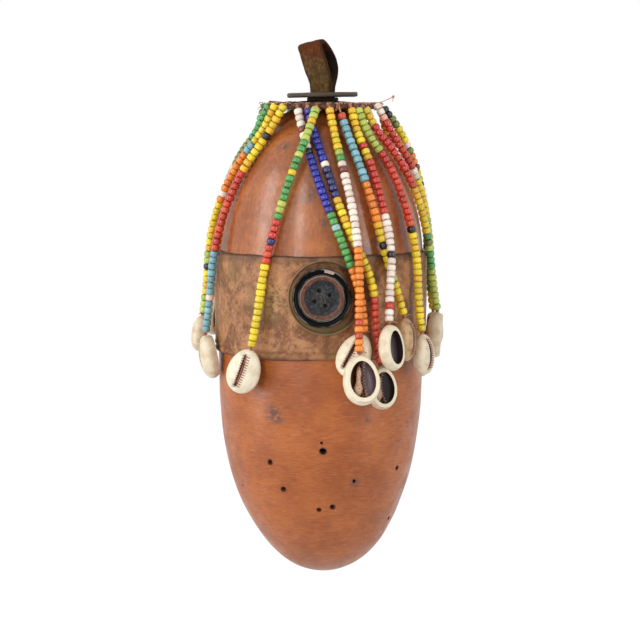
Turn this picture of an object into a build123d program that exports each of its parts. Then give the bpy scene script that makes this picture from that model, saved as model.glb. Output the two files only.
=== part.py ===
from build123d import *
import os
from math import cos, pi, radians, sin, tan

# A gourd-shaped hollow percussion body that hangs from a folded leather strap.
# Origin: inner top of the strap loop. +Z is up and the eye faces -Y. Millimetres.

# Strap and the pieces threaded on it, from the top down
strap_thickness = 2.2
strap_width = 13.4
strap_neck_width = 10.4
loop_height = 21.3
loop_gap = 7.4
loop_crotch = 5.0
strap_taper_height = 9.6
flex_gap = 0.4
strap_hole_diameter = 13.0
washer_diameter = 35.0
washer_thickness = 2.4
spin_gap = 0.1
pad_diameter = 15.6
pad_thickness = 1.7
collar_radius = 26.5
collar_thickness = 2.0
collar_neck_radius = 8.0
collar_drop = 2.0
lashing_diameter = 2.2
toggle_diameter = 6.0
toggle_length = 26.0
toggle_gap = 0.2

# Hollow body: a dome and a cup, joined end to end under a leather band
dome_radius = 51.4
dome_height = 84.4
dome_fullness = 2.08
waist_taper = 0.7
cup_depth = 101.0
cup_fullness = 2.09
waist_length = 48.8
wall = 3.5
crown_flat = 0.5
joint_depth = 12.6
spigot_length = 5.0
spigot_gap = 0.1
band_top = 12.4
band_width = 50.1
band_thickness = 1.8
band_lead = 10.0

# Eye: a four-hole button and a ring, bedded in a moulded backing
eye_side = 0.7
eye_drop = 7.2
backing_diameter = 36.4
backing_flange = 1.7
backing_boss_diameter = 30.4
backing_boss_height = 3.8
ring_diameter = 27.9
ring_width = 2.95
ring_bed_depth = 2.4
ring_proud = 0.7
ring_rounding = 0.5
button_gap = 0.1
button_thickness = 2.8
button_rim_width = 2.2
button_dish_depth = 0.9
button_hole_diameter = 2.0
button_hole_spacing = 5.4
button_turn = -22.0

# Fringe: strings of glass beads, each with a cut cowrie shell at its end
bead_diameter = 4.2
thread_diameter = 0.9
knot_diameter = 2.0
knot_gap = 0.3
thread_tail = 1.6
cowrie_gap = 0.2
cowrie_width_ratio = 0.74
cowrie_thickness_ratio = 0.37
cowrie_wall = 1.3
cowrie_slit = 1.2
cowrie_slit_ratio = 0.74
cowrie_thread_hole = 1.6

# Where the outline of a domed half takes its points, as shares of a quarter turn
curve_shares = (0.12, 0.3, 0.5, 0.68, 0.84, 0.95)

# Radii and heights worked out from the sizes above
cup_radius = dome_radius - waist_taper
hinge_height = -loop_height
knuckle_radius = strap_thickness
washer_top = hinge_height - knuckle_radius - flex_gap
pad_top = washer_top - washer_thickness - spin_gap
collar_top = pad_top - pad_thickness
seat_height = collar_top - collar_thickness
dome_top = seat_height + crown_flat
shoulder_height = dome_top - dome_height
waist_height = shoulder_height - waist_length
joint_height = shoulder_height - joint_depth
band_top_height = shoulder_height + band_top
band_bottom_height = band_top_height - band_width
lashing_radius = collar_radius + lashing_diameter / 2
lashing_height = seat_height - collar_drop + collar_thickness / 2
pivot_radius = lashing_radius + lashing_diameter / 2 + knot_gap + knot_diameter / 2

# Each string: its turn round the body in degrees and its stand-off from the body, at the
# stations below, then the height of its end and the cowrie's length, roll, lean and slant.
station_shares = (0.11, 0.26, 0.45, 0.67, 0.86, 1.0)
corner_share = 0.45
strings = {
    "01": ((-60, -65, -86, -100, -107, -112, -114), (4.4, 3.8, 4.6, 3.8, 3.9, 6.4), -127, (20, 0, 4, 0)),
    "02": ((-46.5, -56, -72, -83, -89, -94, -97), (4.4, 4, 4.6, 3.8, 4.4, 9), -135, (18, 0, 2, 0)),
    "03": ((-37, -47, -57, -66, -74, -80, -82), (4.4, 4, 4.6, 3.8, 3.9, 6), -143, (22, 0, 7, 0)),
    "04": ((-3.3, -9, -16, -23, -29, -34, -37), (13.6, 9.6, 5, 3.8, 3.8, 5.8), -146.5, (22, 0, 7, 16)),
    "05": ((-22, -15, -5, 4.5, 14, 19, 19), (3.4, 3.4, 4.2, 4, 7, 6.8), -138.5, (22, 8, 4, 0)),
    "06": ((-12.2, -6.5, 4, 13, 24, 29, 31), (3.3, 3.5, 5, 4.4, 3.9, 6.4), -154, (21, 180, 7, 0)),
    "07": ((7.4, 11, 14, 18, 20, 19, 18), (4.4, 4.4, 7.4, 10.6, 12.2, 17), -147, (24, 180, 16, 0)),
    "08": ((17.4, 23, 27, 31, 35, 43, 48), (4.4, 3.6, 4.6, 4, 4, 8.4), -131.5, (21, 55, 4, 0)),
    "09": ((29, 31, 34, 36, 38, 36, 34), (4.4, 4, 5.8, 9, 10, 13.2), -133.5, (22, 235, 10, 0)),
    "10": ((38, 44, 49, 53, 57, 61, 66), (4.4, 3.8, 4.6, 3.8, 4, 6.4), -140.5, (20, 20, 5, 0)),
    "11": ((48, 55, 66, 75, 81, 85, 87), (4.4, 4, 4.6, 3.8, 3.9, 6), -132.5, (23, 180, 6, 0)),
    "12": ((69, 72, 84, 93, 99, 102, 104), (4.4, 3.8, 4.6, 3.8, 3.9, 6.4), -134, (18, 0, 4, 0)),
    "13": ((80, 84, 95, 104, 112, 117, 120), (4.4, 3.8, 4.8, 4.4, 3.9, 6.4), -149, (20, 180, 6, 0)),
    "14": ((100, 108, 116, 124, 130, 134, 136), (4.4, 3.8, 4.6, 3.8, 3.9, 6.4), -137, (21, 0, 4, 0)),
    "15": ((129, 134, 139, 143, 147, 150, 151), (4.4, 3.8, 4.6, 3.8, 3.9, 6), -146, (22, 180, 7, 0)),
    "16": ((158, 160, 162, 164, 166, 167, 167), (4.4, 3.8, 4.6, 3.8, 3.9, 6.4), -135, (20, 0, 4, 0)),
    "17": ((188, 186, 185, 184, 183, 183, 182), (4.4, 3.8, 4.6, 3.8, 3.9, 6), -148, (22, 0, 7, 0)),
    "18": ((209, 209, 206, 203, 199, 197, 197), (4.4, 3.8, 4.6, 3.8, 3.9, 6.4), -136, (21, 180, 4, 0)),
    "19": ((228, 230, 226, 221, 216, 214, 213), (4.4, 3.8, 4.6, 3.8, 3.9, 6), -145, (20, 0, 7, 0)),
    "20": ((247, 250, 246, 240, 235, 231, 229), (4.4, 3.8, 4.6, 3.8, 3.9, 6.4), -133, (22, 0, 4, 0)),
}


def shell_half(radius, depth, fullness, along):
    """Radius of a domed half at a distance along its axis from its widest place."""
    share = min(max(along / depth, 0.0), 1.0)
    return radius * (1 - share**fullness) ** (1 / fullness)


def body_radius(height, stand_off=0.0):
    """Radius of a surface that stands off the dome, waist and cup."""
    if height > shoulder_height:
        along = height - shoulder_height
        return shell_half(dome_radius + stand_off, dome_height + stand_off, dome_fullness, along)
    if height < waist_height:
        along = waist_height - height
        return shell_half(cup_radius + stand_off, cup_depth + stand_off, cup_fullness, along)
    share = (shoulder_height - height) / waist_length
    return dome_radius + (cup_radius - dome_radius) * share + stand_off


def outer_radius(height, stand_off=0.0):
    """Radius of a surface that stands off the body, easing out over the band's edges."""
    above = (band_top_height + band_lead - height) / band_lead
    below = (height - band_bottom_height + band_lead) / band_lead
    share = min(max(min(above, below), 0.0), 1.0)
    return body_radius(height, stand_off) + band_thickness * share


def half_curve(radius, depth, fullness, start_height, way):
    """Outline of a domed half, from its widest place to the axis."""
    points = [(radius, start_height)]
    for share in curve_shares:
        angle = share * pi / 2
        across = radius * cos(angle) ** (2 / fullness)
        along = depth * sin(angle) ** (2 / fullness)
        points.append((across, start_height + way * along))
    points.append((0, start_height + way * depth))
    return Spline(*points, tangents=[(0, way), (-1, 0)])


def body_blank(inset=0.0):
    """The whole dome, waist and cup as one solid, inset by a wall."""
    dome = half_curve(dome_radius - inset, dome_height - inset, dome_fullness, shoulder_height, 1)
    cup = half_curve(cup_radius - inset, cup_depth - inset, cup_fullness, waist_height, -1)
    waist = Line((cup_radius - inset, waist_height), (dome_radius - inset, shoulder_height))
    axis = Line((0, dome_top - inset), (0, waist_height - cup_depth + inset))
    outline = Plane.XZ * make_face([dome, waist, cup, axis])
    return revolve(outline, Axis.Z)


def round_post(diameter, bottom, top):
    """An upright cylinder on the axis."""
    post = Cylinder(diameter / 2, top - bottom, align=(Align.CENTER, Align.CENTER, Align.MIN))
    return Pos(0, 0, bottom) * post


def everything_above(height):
    size = 2 * (dome_height + cup_depth + waist_length)
    half_space = Box(size, size, size, align=(Align.CENTER, Align.CENTER, Align.MIN))
    return Pos(0, 0, height) * half_space


def hollow_halves():
    """Dome and cup: the cup's spigot stands inside the dome's rim."""
    hollow = body_blank() - body_blank(wall)
    hollow -= everything_above(seat_height)
    hollow -= round_post(strap_hole_diameter, seat_height - 2 * wall, dome_top)
    middle_of_wall = body_radius(joint_height) - wall / 2
    spigot_top = joint_height + spigot_length
    socket = round_post(2 * (middle_of_wall + spigot_gap), joint_height, spigot_top + spigot_gap)
    core = round_post(2 * middle_of_wall, joint_height, spigot_top)
    upper = (hollow & everything_above(joint_height)) - socket
    lower = (hollow - everything_above(joint_height)) + (hollow & core)
    return upper, lower


def joint_band():
    """Leather sleeve over the joint, lying on dome and cup."""
    return band_sleeve(band_thickness) - body_blank()


def band_sleeve(thickness):
    top, bottom = band_top_height, band_bottom_height
    outer = [
        (dome_radius + thickness, top),
        (dome_radius + thickness, shoulder_height),
        (body_radius(bottom) + thickness, bottom),
    ]
    outline = Plane.XZ * make_face(Polyline((0, top), *outer, (0, bottom), close=True))
    return revolve(outline, Axis.Z)


def eye_place(stand_off=0.0):
    """Frame on the band's front, its Z pointing out of the band."""
    height = shoulder_height - eye_drop
    front = outer_radius(height) + stand_off
    return Plane(origin=(eye_side, -front, height), x_dir=(1, 0, 0), z_dir=(0, -1, 0))


def eye_disc(diameter, back, front):
    disc = Cylinder(diameter / 2, front - back, align=(Align.CENTER, Align.CENTER, Align.MIN))
    return eye_place(back) * disc


def eye_backing():
    """Flange that follows the band, with a boss that holds the ring and button."""
    reach = wall + band_thickness
    flange = eye_disc(backing_diameter, -2 * reach, backing_boss_height)
    flange &= band_sleeve(band_thickness + backing_flange)
    boss = eye_disc(backing_boss_diameter, -reach, backing_boss_height)
    floor = backing_boss_height - ring_bed_depth
    bed = eye_disc(ring_diameter, floor, backing_boss_height)
    return flange + boss - band_sleeve(band_thickness) - bed


def eye_ring():
    floor = backing_boss_height - ring_bed_depth
    top = backing_boss_height + ring_proud
    ring = eye_disc(ring_diameter, floor, top)
    ring -= eye_disc(ring_diameter - 2 * ring_width, floor, top)
    crest = ring.faces().sort_by(Axis.Y)[0]
    return fillet(crest.edges(), ring_rounding)


def eye_button():
    """Round button with a raised rim, a dished middle and four thread holes."""
    diameter = ring_diameter - 2 * ring_width - 2 * button_gap
    floor = backing_boss_height - ring_bed_depth
    top = floor + button_thickness
    dish_floor = top - button_dish_depth
    button = eye_disc(diameter, floor, top)
    button -= eye_disc(diameter - 2 * button_rim_width, dish_floor, top)
    half = button_hole_spacing / 2
    hole = Cylinder(button_hole_diameter / 2, 3 * button_thickness)
    turn = Rot(0, 0, button_turn)
    for x in (-half, half):
        for y in (-half, half):
            button -= eye_place(dish_floor) * turn * Pos(x, y, 0) * hole
    return button


def collar():
    """Shallow leather cone that sits on the crown."""
    rim_top = collar_top - collar_drop
    hole_radius = strap_hole_diameter / 2
    outline = Polyline(
        (hole_radius, seat_height),
        (collar_neck_radius, seat_height),
        (collar_radius, rim_top - collar_thickness),
        (collar_radius, rim_top),
        (collar_neck_radius, collar_top),
        (hole_radius, collar_top),
        close=True,
    )
    return revolve(Plane.XZ * make_face(outline), Axis.Z)


def collar_lashing():
    """Ring of fibre round the collar's rim, which carries the strings."""
    return Pos(0, 0, lashing_height) * Torus(lashing_radius, lashing_diameter / 2)


def neck_pad():
    pad = round_post(pad_diameter, collar_top, pad_top)
    return pad - round_post(strap_hole_diameter, collar_top, pad_top)


def washer():
    ring = round_post(washer_diameter, washer_top - washer_thickness, washer_top)
    return ring - round_post(strap_hole_diameter, washer_top - washer_thickness, washer_top)


def extruded_across(outline, width):
    """A side-view outline made solid across the strap's width."""
    return extrude(Plane.YZ * make_face(outline), width / 2, both=True)


def strap_side(half_gap, top, foot, bottom):
    """Side view of the folded strap's outer or inner face, closed at its foot."""
    shoulder = top - half_gap
    face = Spline(
        (-foot, bottom), (-half_gap, shoulder), (0, top), (half_gap, shoulder), (foot, bottom),
        tangents=[(-0.1, 1), (-0.1, -1)],
    )
    return [face, Line((foot, bottom), (-foot, bottom))] if foot else [face]


def strap_loop():
    """Folded strap above the hinge, open from side to side."""
    outer_half = loop_gap / 2 + strap_thickness
    outside = strap_side(outer_half, strap_thickness, knuckle_radius, hinge_height)
    inside = strap_side(loop_gap / 2, 0, 0, hinge_height + loop_crotch)
    loop = extruded_across(outside, strap_width) - extruded_across(inside, strap_width)
    loop += Pos(0, 0, hinge_height) * Rot(0, 90, 0) * Cylinder(knuckle_radius, strap_width)
    half_top, half_foot = strap_width / 2, strap_neck_width / 2
    waist = hinge_height + strap_taper_height
    foot = hinge_height - knuckle_radius
    front = Polyline(
        (-half_foot, foot), (half_foot, foot), (half_top, waist), (half_top, strap_thickness),
        (-half_top, strap_thickness), (-half_top, waist), close=True,
    )
    return loop & extrude(Plane.XZ * make_face(front), 2 * outer_half, both=True)


def toggle_height():
    """Axis height of the peg that lies under the crown."""
    end_radius = toggle_length / 2
    inner_radius, inner_height = dome_radius - wall, dome_height - wall
    share = 1 - (end_radius / inner_radius) ** dome_fullness
    roof = shoulder_height + inner_height * share ** (1 / dome_fullness)
    return roof - toggle_diameter / 2 - toggle_gap


def toggle_bar(diameter, length):
    return Pos(0, 0, toggle_height()) * Rot(0, 90, 0) * Cylinder(diameter / 2, length)


def strap_tail():
    """Both legs of the strap, through the neck and round the peg."""
    top, bottom = washer_top, toggle_height()
    legs = Box(strap_neck_width, 2 * strap_thickness, top - bottom,
               align=(Align.CENTER, Align.CENTER, Align.MIN))
    legs = Pos(0, 0, bottom) * legs
    eye = toggle_bar(toggle_diameter + 2 * strap_thickness, strap_neck_width)
    return legs + eye - toggle_bar(toggle_diameter, toggle_length)


def strap_toggle():
    return toggle_bar(toggle_diameter, toggle_length)


def around(turn, radius, height):
    """A point at a turn round the body, measured from the front towards +X."""
    return Vector(radius * sin(radians(turn)), -radius * cos(radians(turn)), height)


def string_route(turns, stand_offs, end_height):
    points = [around(turns[0], pivot_radius, lashing_height)]
    drop = end_height - lashing_height
    for share, turn, stand_off in zip(station_shares, turns[1:], stand_offs):
        height = lashing_height + share * drop
        points.append(around(turn, outer_radius(height, stand_off), height))
    return points


def corner_radii(points):
    """Largest tangent arc that each corner's two runs allow."""
    radii = []
    for before, corner, after in zip(points, points[1:], points[2:]):
        run_in, run_out = corner - before, after - corner
        half_turn = radians(run_in.get_angle(run_out)) / 2
        radii.append(corner_share * min(run_in.length, run_out.length) / tan(half_turn))
    return radii


def round_bar(start, end, diameter):
    """A straight bar between two points."""
    along = end - start
    bar = Cylinder(diameter / 2, along.length, align=(Align.CENTER, Align.CENTER, Align.MIN))
    return Plane(origin=start, z_dir=along) * bar


def bead_strand(route):
    """Knot, bead tube and the bare thread that reaches the cowrie."""
    first, last = (route[1] - route[0]).normalized(), (route[-1] - route[-2]).normalized()
    top, bottom = route[0] + first * thread_tail, route[-1] - last * thread_tail
    points = [top, *route[1:-1], bottom]
    radii = corner_radii(points)
    path = FilletPolyline(*points, radius=radii)
    beads = sweep(Plane(origin=top, z_dir=first) * Circle(bead_diameter / 2), path)
    knot = Pos(*route[0]) * Sphere(knot_diameter / 2)
    inside = bead_diameter / 2
    upper_thread = round_bar(route[0], top + first * inside, thread_diameter)
    lower_thread = round_bar(bottom - last * inside, route[-1], thread_diameter)
    print("string radii", [round(radius) for radius in radii], "length", round(path.length, 1))
    return beads + knot + upper_thread + lower_thread


def shell_egg(length, width):
    """Egg of a cowrie, its long axis along Z."""
    handle = width * 2 / 3
    side = Bezier((0, length / 2), (handle, length / 2), (handle, -length / 2), (0, -length / 2))
    return revolve(Plane.XZ * make_face([side, Line((0, -length / 2), (0, length / 2))]), Axis.Z)


def cowrie(length):
    """Cowrie with its slit at -Y and its back cut off at +Y."""
    width, thickness = length * cowrie_width_ratio, length * cowrie_thickness_ratio
    slab = Box(2 * length, thickness, 2 * length)
    shell = shell_egg(length, width) & slab
    inner = shell_egg(length - 2 * cowrie_wall, width - 2 * cowrie_wall)
    inner &= Pos(0, cowrie_wall, 0) * slab
    slit = Pos(0, -thickness / 2, 0) * Box(cowrie_slit, 4 * cowrie_wall, length * cowrie_slit_ratio)
    hole = Pos(0, 0, length / 2) * Cylinder(cowrie_thread_hole / 2, 6 * cowrie_wall)
    return shell - inner - slit - hole


def hung_cowrie(route, turn, shape):
    """Cowrie below the end of its string, leaning in and slanting sideways."""
    length, roll, lean, slant = shape
    facing = Rot(0, 0, turn) * Rot(-lean, 0, 0) * Rot(0, slant, 0)
    drop = Pos(0, 0, -length / 2 - cowrie_gap) * Rot(0, 0, roll)
    return Pos(*route[-1]) * facing * drop * cowrie(length)


def all_nodes():
    upper, lower = hollow_halves()
    nodes = {
        "upper_shell": upper,
        "lower_shell": lower,
        "joint_band": joint_band(),
        "eye_backing": eye_backing(),
        "eye_ring": eye_ring(),
        "eye_button": eye_button(),
        "collar": collar(),
        "collar_lashing": collar_lashing(),
        "neck_pad": neck_pad(),
        "washer": washer(),
        "strap_loop": strap_loop(),
        "strap_tail": strap_tail(),
        "strap_toggle": strap_toggle(),
    }
    for name, (turns, stand_offs, end_height, shape) in strings.items():
        route = string_route(turns, stand_offs, end_height)
        nodes["bead_strand_" + name] = bead_strand(route)
        nodes["cowrie_" + name] = hung_cowrie(route, turns[-1], shape)
    return nodes


os.makedirs("parts", exist_ok=True)
for node_name, solid in all_nodes().items():
    export_step(solid, "parts/" + node_name + ".step")
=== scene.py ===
import math
import random

import bpy
from mathutils import Matrix, Vector, noise
from mathutils.bvhtree import BVHTree


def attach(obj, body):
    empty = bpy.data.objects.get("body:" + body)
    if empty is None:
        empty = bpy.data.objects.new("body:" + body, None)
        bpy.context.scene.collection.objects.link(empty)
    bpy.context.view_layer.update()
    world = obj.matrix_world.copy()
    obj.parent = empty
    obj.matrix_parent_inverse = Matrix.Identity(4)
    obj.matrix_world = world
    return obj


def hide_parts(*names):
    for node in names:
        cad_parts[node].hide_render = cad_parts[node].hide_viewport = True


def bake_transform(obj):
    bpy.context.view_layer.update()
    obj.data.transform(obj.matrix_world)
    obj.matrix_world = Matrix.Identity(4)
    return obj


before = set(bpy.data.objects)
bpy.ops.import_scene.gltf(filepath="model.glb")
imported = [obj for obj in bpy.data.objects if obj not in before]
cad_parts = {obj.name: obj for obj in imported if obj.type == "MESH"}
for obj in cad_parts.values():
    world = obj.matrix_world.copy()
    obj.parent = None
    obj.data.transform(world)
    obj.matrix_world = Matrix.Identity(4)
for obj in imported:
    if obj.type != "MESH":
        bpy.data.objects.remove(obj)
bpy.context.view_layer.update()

# A beaded gourd: a dome and a cup of gourd under a leather band, a button for an eye, a strap
# to hang it by and a fringe of bead strings with cowries. Metres, +Z up, the eye faces -Y.

# Body
DOME_RADIUS = 0.0514
DOME_HEIGHT = 0.0844
DOME_FULLNESS = 2.08
CUP_RADIUS = 0.0507
CUP_DEPTH = 0.1010
CUP_FULLNESS = 2.09
SHOULDER = -0.1140
WAIST = -0.1628
JOINT = -0.1266
WALL = 0.0035
BAND_TOP = -0.1016
BAND_BOTTOM = -0.1517
BAND_THICKNESS = 0.0018
BAND_LEAD = 0.0100
CUP_LEAN = 0.0013
GOURD_SIDES = 144
DOME_END = 83.3
DOME_RINGS = 52
CUP_END = 88.4
CUP_RINGS = 60
BORER_SIDES = 14
PEG_LENGTH = 0.012

# Strap, washer, pad, collar and lashing
STRAP_THICKNESS = 0.0022
STRAP_WIDTH = 0.0128
NECK_WIDTH = 0.0096
NECK_HOLE = 0.0065
WASHER_TOP = -0.0239
WASHER_THICKNESS = 0.0024
WASHER_RADIUS = 0.0175
WASHER_FLAT = 0.0120
PAD_TOP = -0.0264
PAD_RADIUS = 0.0078
COLLAR_TOP = -0.0281
COLLAR_RADIUS = 0.0265
COLLAR_THICKNESS = 0.0020
COLLAR_DROP = 0.0020
COLLAR_FLAT = 0.0080
LASHING_RADIUS = 0.0276
LASHING_HEIGHT = -0.0311
LASHING_STRANDS = 3
LASHING_LAYS = 46
LASHING_SPREAD = 0.00052
LASHING_YARN = 0.00105
LASHING_STEPS = 540
FIBRE = 0.00028
FRAYED_ENDS = 210
BENT_FIBRES = 12
NECK_SHIFT = 0.0010
WASHER_TILT = 0.016
STRAP_TWIST = 24
STRAP_LEAN = 0.0050

# Eye
EYE_X = 0.0007
EYE_HEIGHT = -0.1212
BACKING_RADIUS = 0.0182
BACKING_SHIFT = 0.0017
BOSS_RADIUS = 0.0152
BOSS_HEIGHT = 0.0038
RING_RADIUS = 0.01395
RING_WIDTH = 0.00295
RING_PROUD = 0.0007
BED_DEPTH = 0.0024
BUTTON_RADIUS = 0.0109
BUTTON_RIM = 0.0022
BUTTON_THICKNESS = 0.0028
BUTTON_DISH = 0.0009
BUTTON_HOLE = 0.0010
BUTTON_HOLE_SIDES = 20
BUTTON_SPACING = 0.0054
BUTTON_TURN = -22.0

# Fringe
BEADS_RADIUS = 0.0306
BEADS_TOP = -0.0300
THREAD = 0.0009
THREAD_TAIL = 0.0012
THREAD_END = 0.0004
TIE_THREAD = 0.00042
TIE_TURNS = 5.5
TIE_STEPS = 60
BEAD_DIAMETER = 0.0042
COWRIE_GAP = 0.0002
SLIT_ROWS = 44

# A cowrie's form, in shares of its length: its width and taper, its back and face, its wall, and
# how far behind its middle the back is ground off
COWRIE_WIDTH = 0.74
COWRIE_TAPER = 0.20
COWRIE_BACK = 0.60
COWRIE_FACE = 0.235
COWRIE_WALL = 0.054
COWRIE_CUT = 0.138

# Where a string bends on its way down, in shares of its drop
STATIONS = (0.11, 0.26, 0.45, 0.67, 0.86, 1.0)

# Each string: its body, its turns round the gourd in degrees, its stand-offs from the gourd and
# the height of its end in millimetres, its cowrie's length, roll, lean, slant and tan, its
# thread's length, and its beads' colours from the top down.
STRINGS = {
    "01": ("string_01", (-57, -69, -86, -100, -107, -112, -114), (3.4, 2.4, 3.4, 3.4, 3.5, 6), -127,
           (20, 0, 4, 0, 0.3), 0.117, "G7 V6 W1 A4 L3 W1 Y5 O3 R4 Y3"),
    "02": ("string_02", (-46.5, -57, -72.5, -83, -88, -92, -94), (3.4, 2.8, 4.0, 3.4, 3.6, 6.4), -135,
           (18, 0, 9, 0, 0.35), 0.122, "Y7 A2 O7 W1 O1 Y8 L2 K1 Y4 L3"),
    "03": ("string_03", (-35.3, -47, -59, -66, -70.5, -75.5, -77), (3.6, 2.8, 3.8, 3.4, 3.5, 5.6), -143,
           (22, 0, -10, 0, 0.25), 0.128, "Y5 K1 Y6 R13 A7 W1 A5"),
    "04": ("front_strings", (-3.3, -9, -16, -23, -29, -32.2, -35.2), (7.6, 7.2, 4.2, 3.4, 3.4, 5.4), -146.5,
           (22, 22, 7, 16, 0.0), 0.131, "L2 Y1 L3 G2 L1 G2 Y1 G4 L2 G1 R3 N1 R3 Y13"),
    "05": ("front_strings", (-22, -15, -5, 4.3, 14, 20, 20.4), (3, 3, 3.8, 3.6, 6.6, 6.4), -138.5,
           (22, -40, 4, 28, 0.1), 0.124, "W3 T1 W3 K1 B10 G2 C1 G6 O10"),
    "06": ("front_strings", (-12.2, -4.8, 4.9, 12.8, 26.5, 27.8, 29.4), (2.9, 3.1, 4.6, 4, 3.5, 6), -154,
           (21, 180, 7, 0, 0.6), 0.139, "B9 W1 N5 Y16 E10"),
    "07": ("front_strings", (7.4, 11, 14.3, 17.5, 17.6, 16.4, 15.4), (4, 3.6, 5.8, 9.2, 10.8, 16), -147,
           (24, 180, 16, 0, 0.1), 0.130, "Y7 L1 G1 W1 T1 W12 O11 R1 O1 R1 O2"),
    "08": ("side_strings", (16.6, 21.6, 25.5, 29.2, 33, 40, 43), (4, 3.2, 4.2, 3.6, 3.6, 6), -131.5,
           (21, 28, 4, 0, 1.0), 0.114, "-1 R1 A10 O6 Y3 K1 Y3 L2 Y5"),
    "09": ("side_strings", (28.6, 31, 34, 35.4, 35.2, 32, 29.6), (4, 3.6, 4.6, 7.4, 8.8, 13), -133.5,
           (22, 208, 10, 0, 0.2), 0.116, "Y6 R1 Y2 R9 W6 K1 W7 R1 W2"),
    "10": ("string_10", (35.3, 39.5, 49.5, 53.3, 57, 56.5, 57), (4.4, 4.4, 4.6, 3.4, 3.6, 6), -140.5,
           (20, 4, 5, 0, 0.3), 0.123, "L8 R13 K1 Y16"),
    "11": ("string_11", (43.5, 51, 61.5, 71, 78, 83, 86), (5.0, 5.6, 4.6, 3.0, 3.0, 5.4), -132.5,
           (23, 180, -5, 0, 0.3), 0.118, "Y3 R12 Y8 G1 V1 L1 G3 L7"),
    "12": ("string_12", (66, 69, 78, 87, 97, 102, 104), (6.0, 5.4, 4.6, 3.2, 3.2, 6), -134,
           (18, 0, 4, 0, 0.4), 0.120, "W2 P1 R9 W2 Y7 L5 K1 G7 Y3"),
    "13": ("string_13", (80, 86, 91, 96, 106, 114, 119), (8.4, 6.4, 4.6, 3.4, 3.2, 6), -149,
           (20, 180, 0, 0, 0.3), 0.135, "K2 V2 Y3 W1 V1 O2 T1 Y1 L1 K1 W2 K1 G8 Y9 R7"),
    "14": ("string_14", (100, 108, 116, 124, 130, 134, 136), (4, 3.4, 4.2, 3.4, 3.5, 6), -137,
           (21, 0, 4, 0, 0.1), 0.121, "Y5 R7 W1 G7 K1 O11 Y5"),
    "15": ("string_15", (129, 134, 139, 143, 147, 150, 151), (4, 3.4, 4.2, 3.4, 3.5, 5.6), -146,
           (22, 180, 7, 0, 0.2), 0.128, "W4 B7 L2 B6 W1 Y11 R8"),
    "16": ("string_16", (158, 160, 162, 164, 166, 167, 167), (4, 3.4, 4.2, 3.4, 3.5, 6), -135,
           (20, 0, 4, 0, 0.0), 0.116, "G5 L3 Y8 R1 O7 W1 A10"),
    "17": ("string_17", (188, 186, 185, 184, 183, 183, 182), (4, 3.4, 4.2, 3.4, 3.5, 5.6), -148,
           (22, 0, 7, 0, 0.5), 0.128, "R7 K1 Y11 N2 W8 R10"),
    "18": ("string_18", (209, 209, 206, 203, 199, 197, 197), (4, 3.4, 4.2, 3.4, 3.5, 6), -136,
           (21, 180, 4, 0, 0.1), 0.117, "A7 W2 G9 Y1 R6 Y11"),
    "19": ("string_19", (228, 230, 226, 221, 216, 214, 213), (4, 3.4, 4.2, 3.4, 3.5, 5.6), -145,
           (20, 0, 7, 0, 0.3), 0.126, "Y8 O8 K1 L5 G6 W1 B10"),
    "20": ("string_20", (247, 250, 246, 240, 235, 231, 229), (3.6, 2.8, 3.6, 3.4, 3.5, 6), -133,
           (22, 0, 4, 0, 0.2), 0.115, "G6 W1 Y9 L6 R2 O8 R4"),
}

# Bare thread above a string's first bead, in millimetres
BARE_THREAD = {
    "03": 0.4, "04": 2.4, "05": 2.4, "06": 2.3, "07": 2.1, "08": 1.2, "09": 2.0, "10": 2.2, "11": 2.2,
    "13": 2.2, "14": 1.5, "16": 1.0, "18": 2.0, "19": 1.2,
}

# Glass colours, as paint values from 0 to 255
GLASS = {
    "Y": (246, 216, 38),
    "R": (210, 62, 40),
    "E": (232, 88, 62),
    "W": (252, 234, 220),
    "B": (36, 44, 158),
    "N": (40, 44, 104),
    "A": (132, 188, 200),
    "O": (250, 142, 42),
    "L": (190, 206, 90),
    "G": (80, 158, 78),
    "V": (122, 130, 58),
    "K": (18, 17, 16),
    "T": (130, 60, 40),
    "C": (168, 218, 216),
    "P": (238, 172, 152),
}

# How much painted shade darkens the inside of a cowrie, where it isn't left to a draw
INSIDE_SHADE = {"06": 1.0, "09": 0.8}

# Camera: its place, how far it looks down in degrees, and its lens and sensor in millimetres
CAMERA_PLACE = (-0.00025, -1.1, -0.027)
CAMERA_DIP = 5.72
CAMERA_LENS = 124.3
CAMERA_SENSOR = 36

# Soft lamps: name, azimuth, elevation, distance, width, height and power. They aim at a height
# on the gourd's axis.
LAMPS = (
    ("left strip", -70, 12, 1.5, 0.36, 1.6, 11.5),
    ("front strip", -24, 18, 1.7, 0.24, 1.5, 9.6),
    ("right strip", 56, 12, 1.6, 0.32, 1.6, 9),
    ("back light", 180, 25, 1.8, 1.0, 1.0, 6),
)
LAMPS_AIM = -0.13
WORLD_LIGHT = 0.42
WORLD_SEEN = 1.0
FLOOR_SIZE = 14
FLOOR_HEIGHT = -1.2
FLOOR_GLOW = 1.12
FLOOR_GLOW_SHARE = 0.88

# Insect holes in the cup: turn in degrees, height and width in millimetres
BORER_HOLES = (
    (0.6, -191.7, 1.2),
    (1.4, -195.8, 2.9),
    (-31.3, -202.5, 2.3),
    (-24.2, -215.8, 2.3),
    (-1.0, -225.8, 1.9),
    (8.2, -224.4, 2.3),
    (20.9, -211.3, 1.5),
    (54.5, -207.5, 2.1),
    (65.6, -234.5, 1.9),
    (-61.9, -217.2, 0.9),
    (148.0, -198.0, 2.2),
    (201.0, -221.0, 1.9),
)

# Grey smudges on the gourd: turn in degrees, height and width in millimetres
DOME_SMUDGES = ((-31, -50, 9), (-7, -73, 8), (2, -86, 6), (26, -98, 10), (35, -95, 12), (140, -70, 9))
CUP_SMUDGES = ((-28, -178, 11), (-24, -180, 8), (27, -181, 5), (59, -185, 4), (22, -212, 6), (160, -190, 9))


# Making meshes


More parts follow.
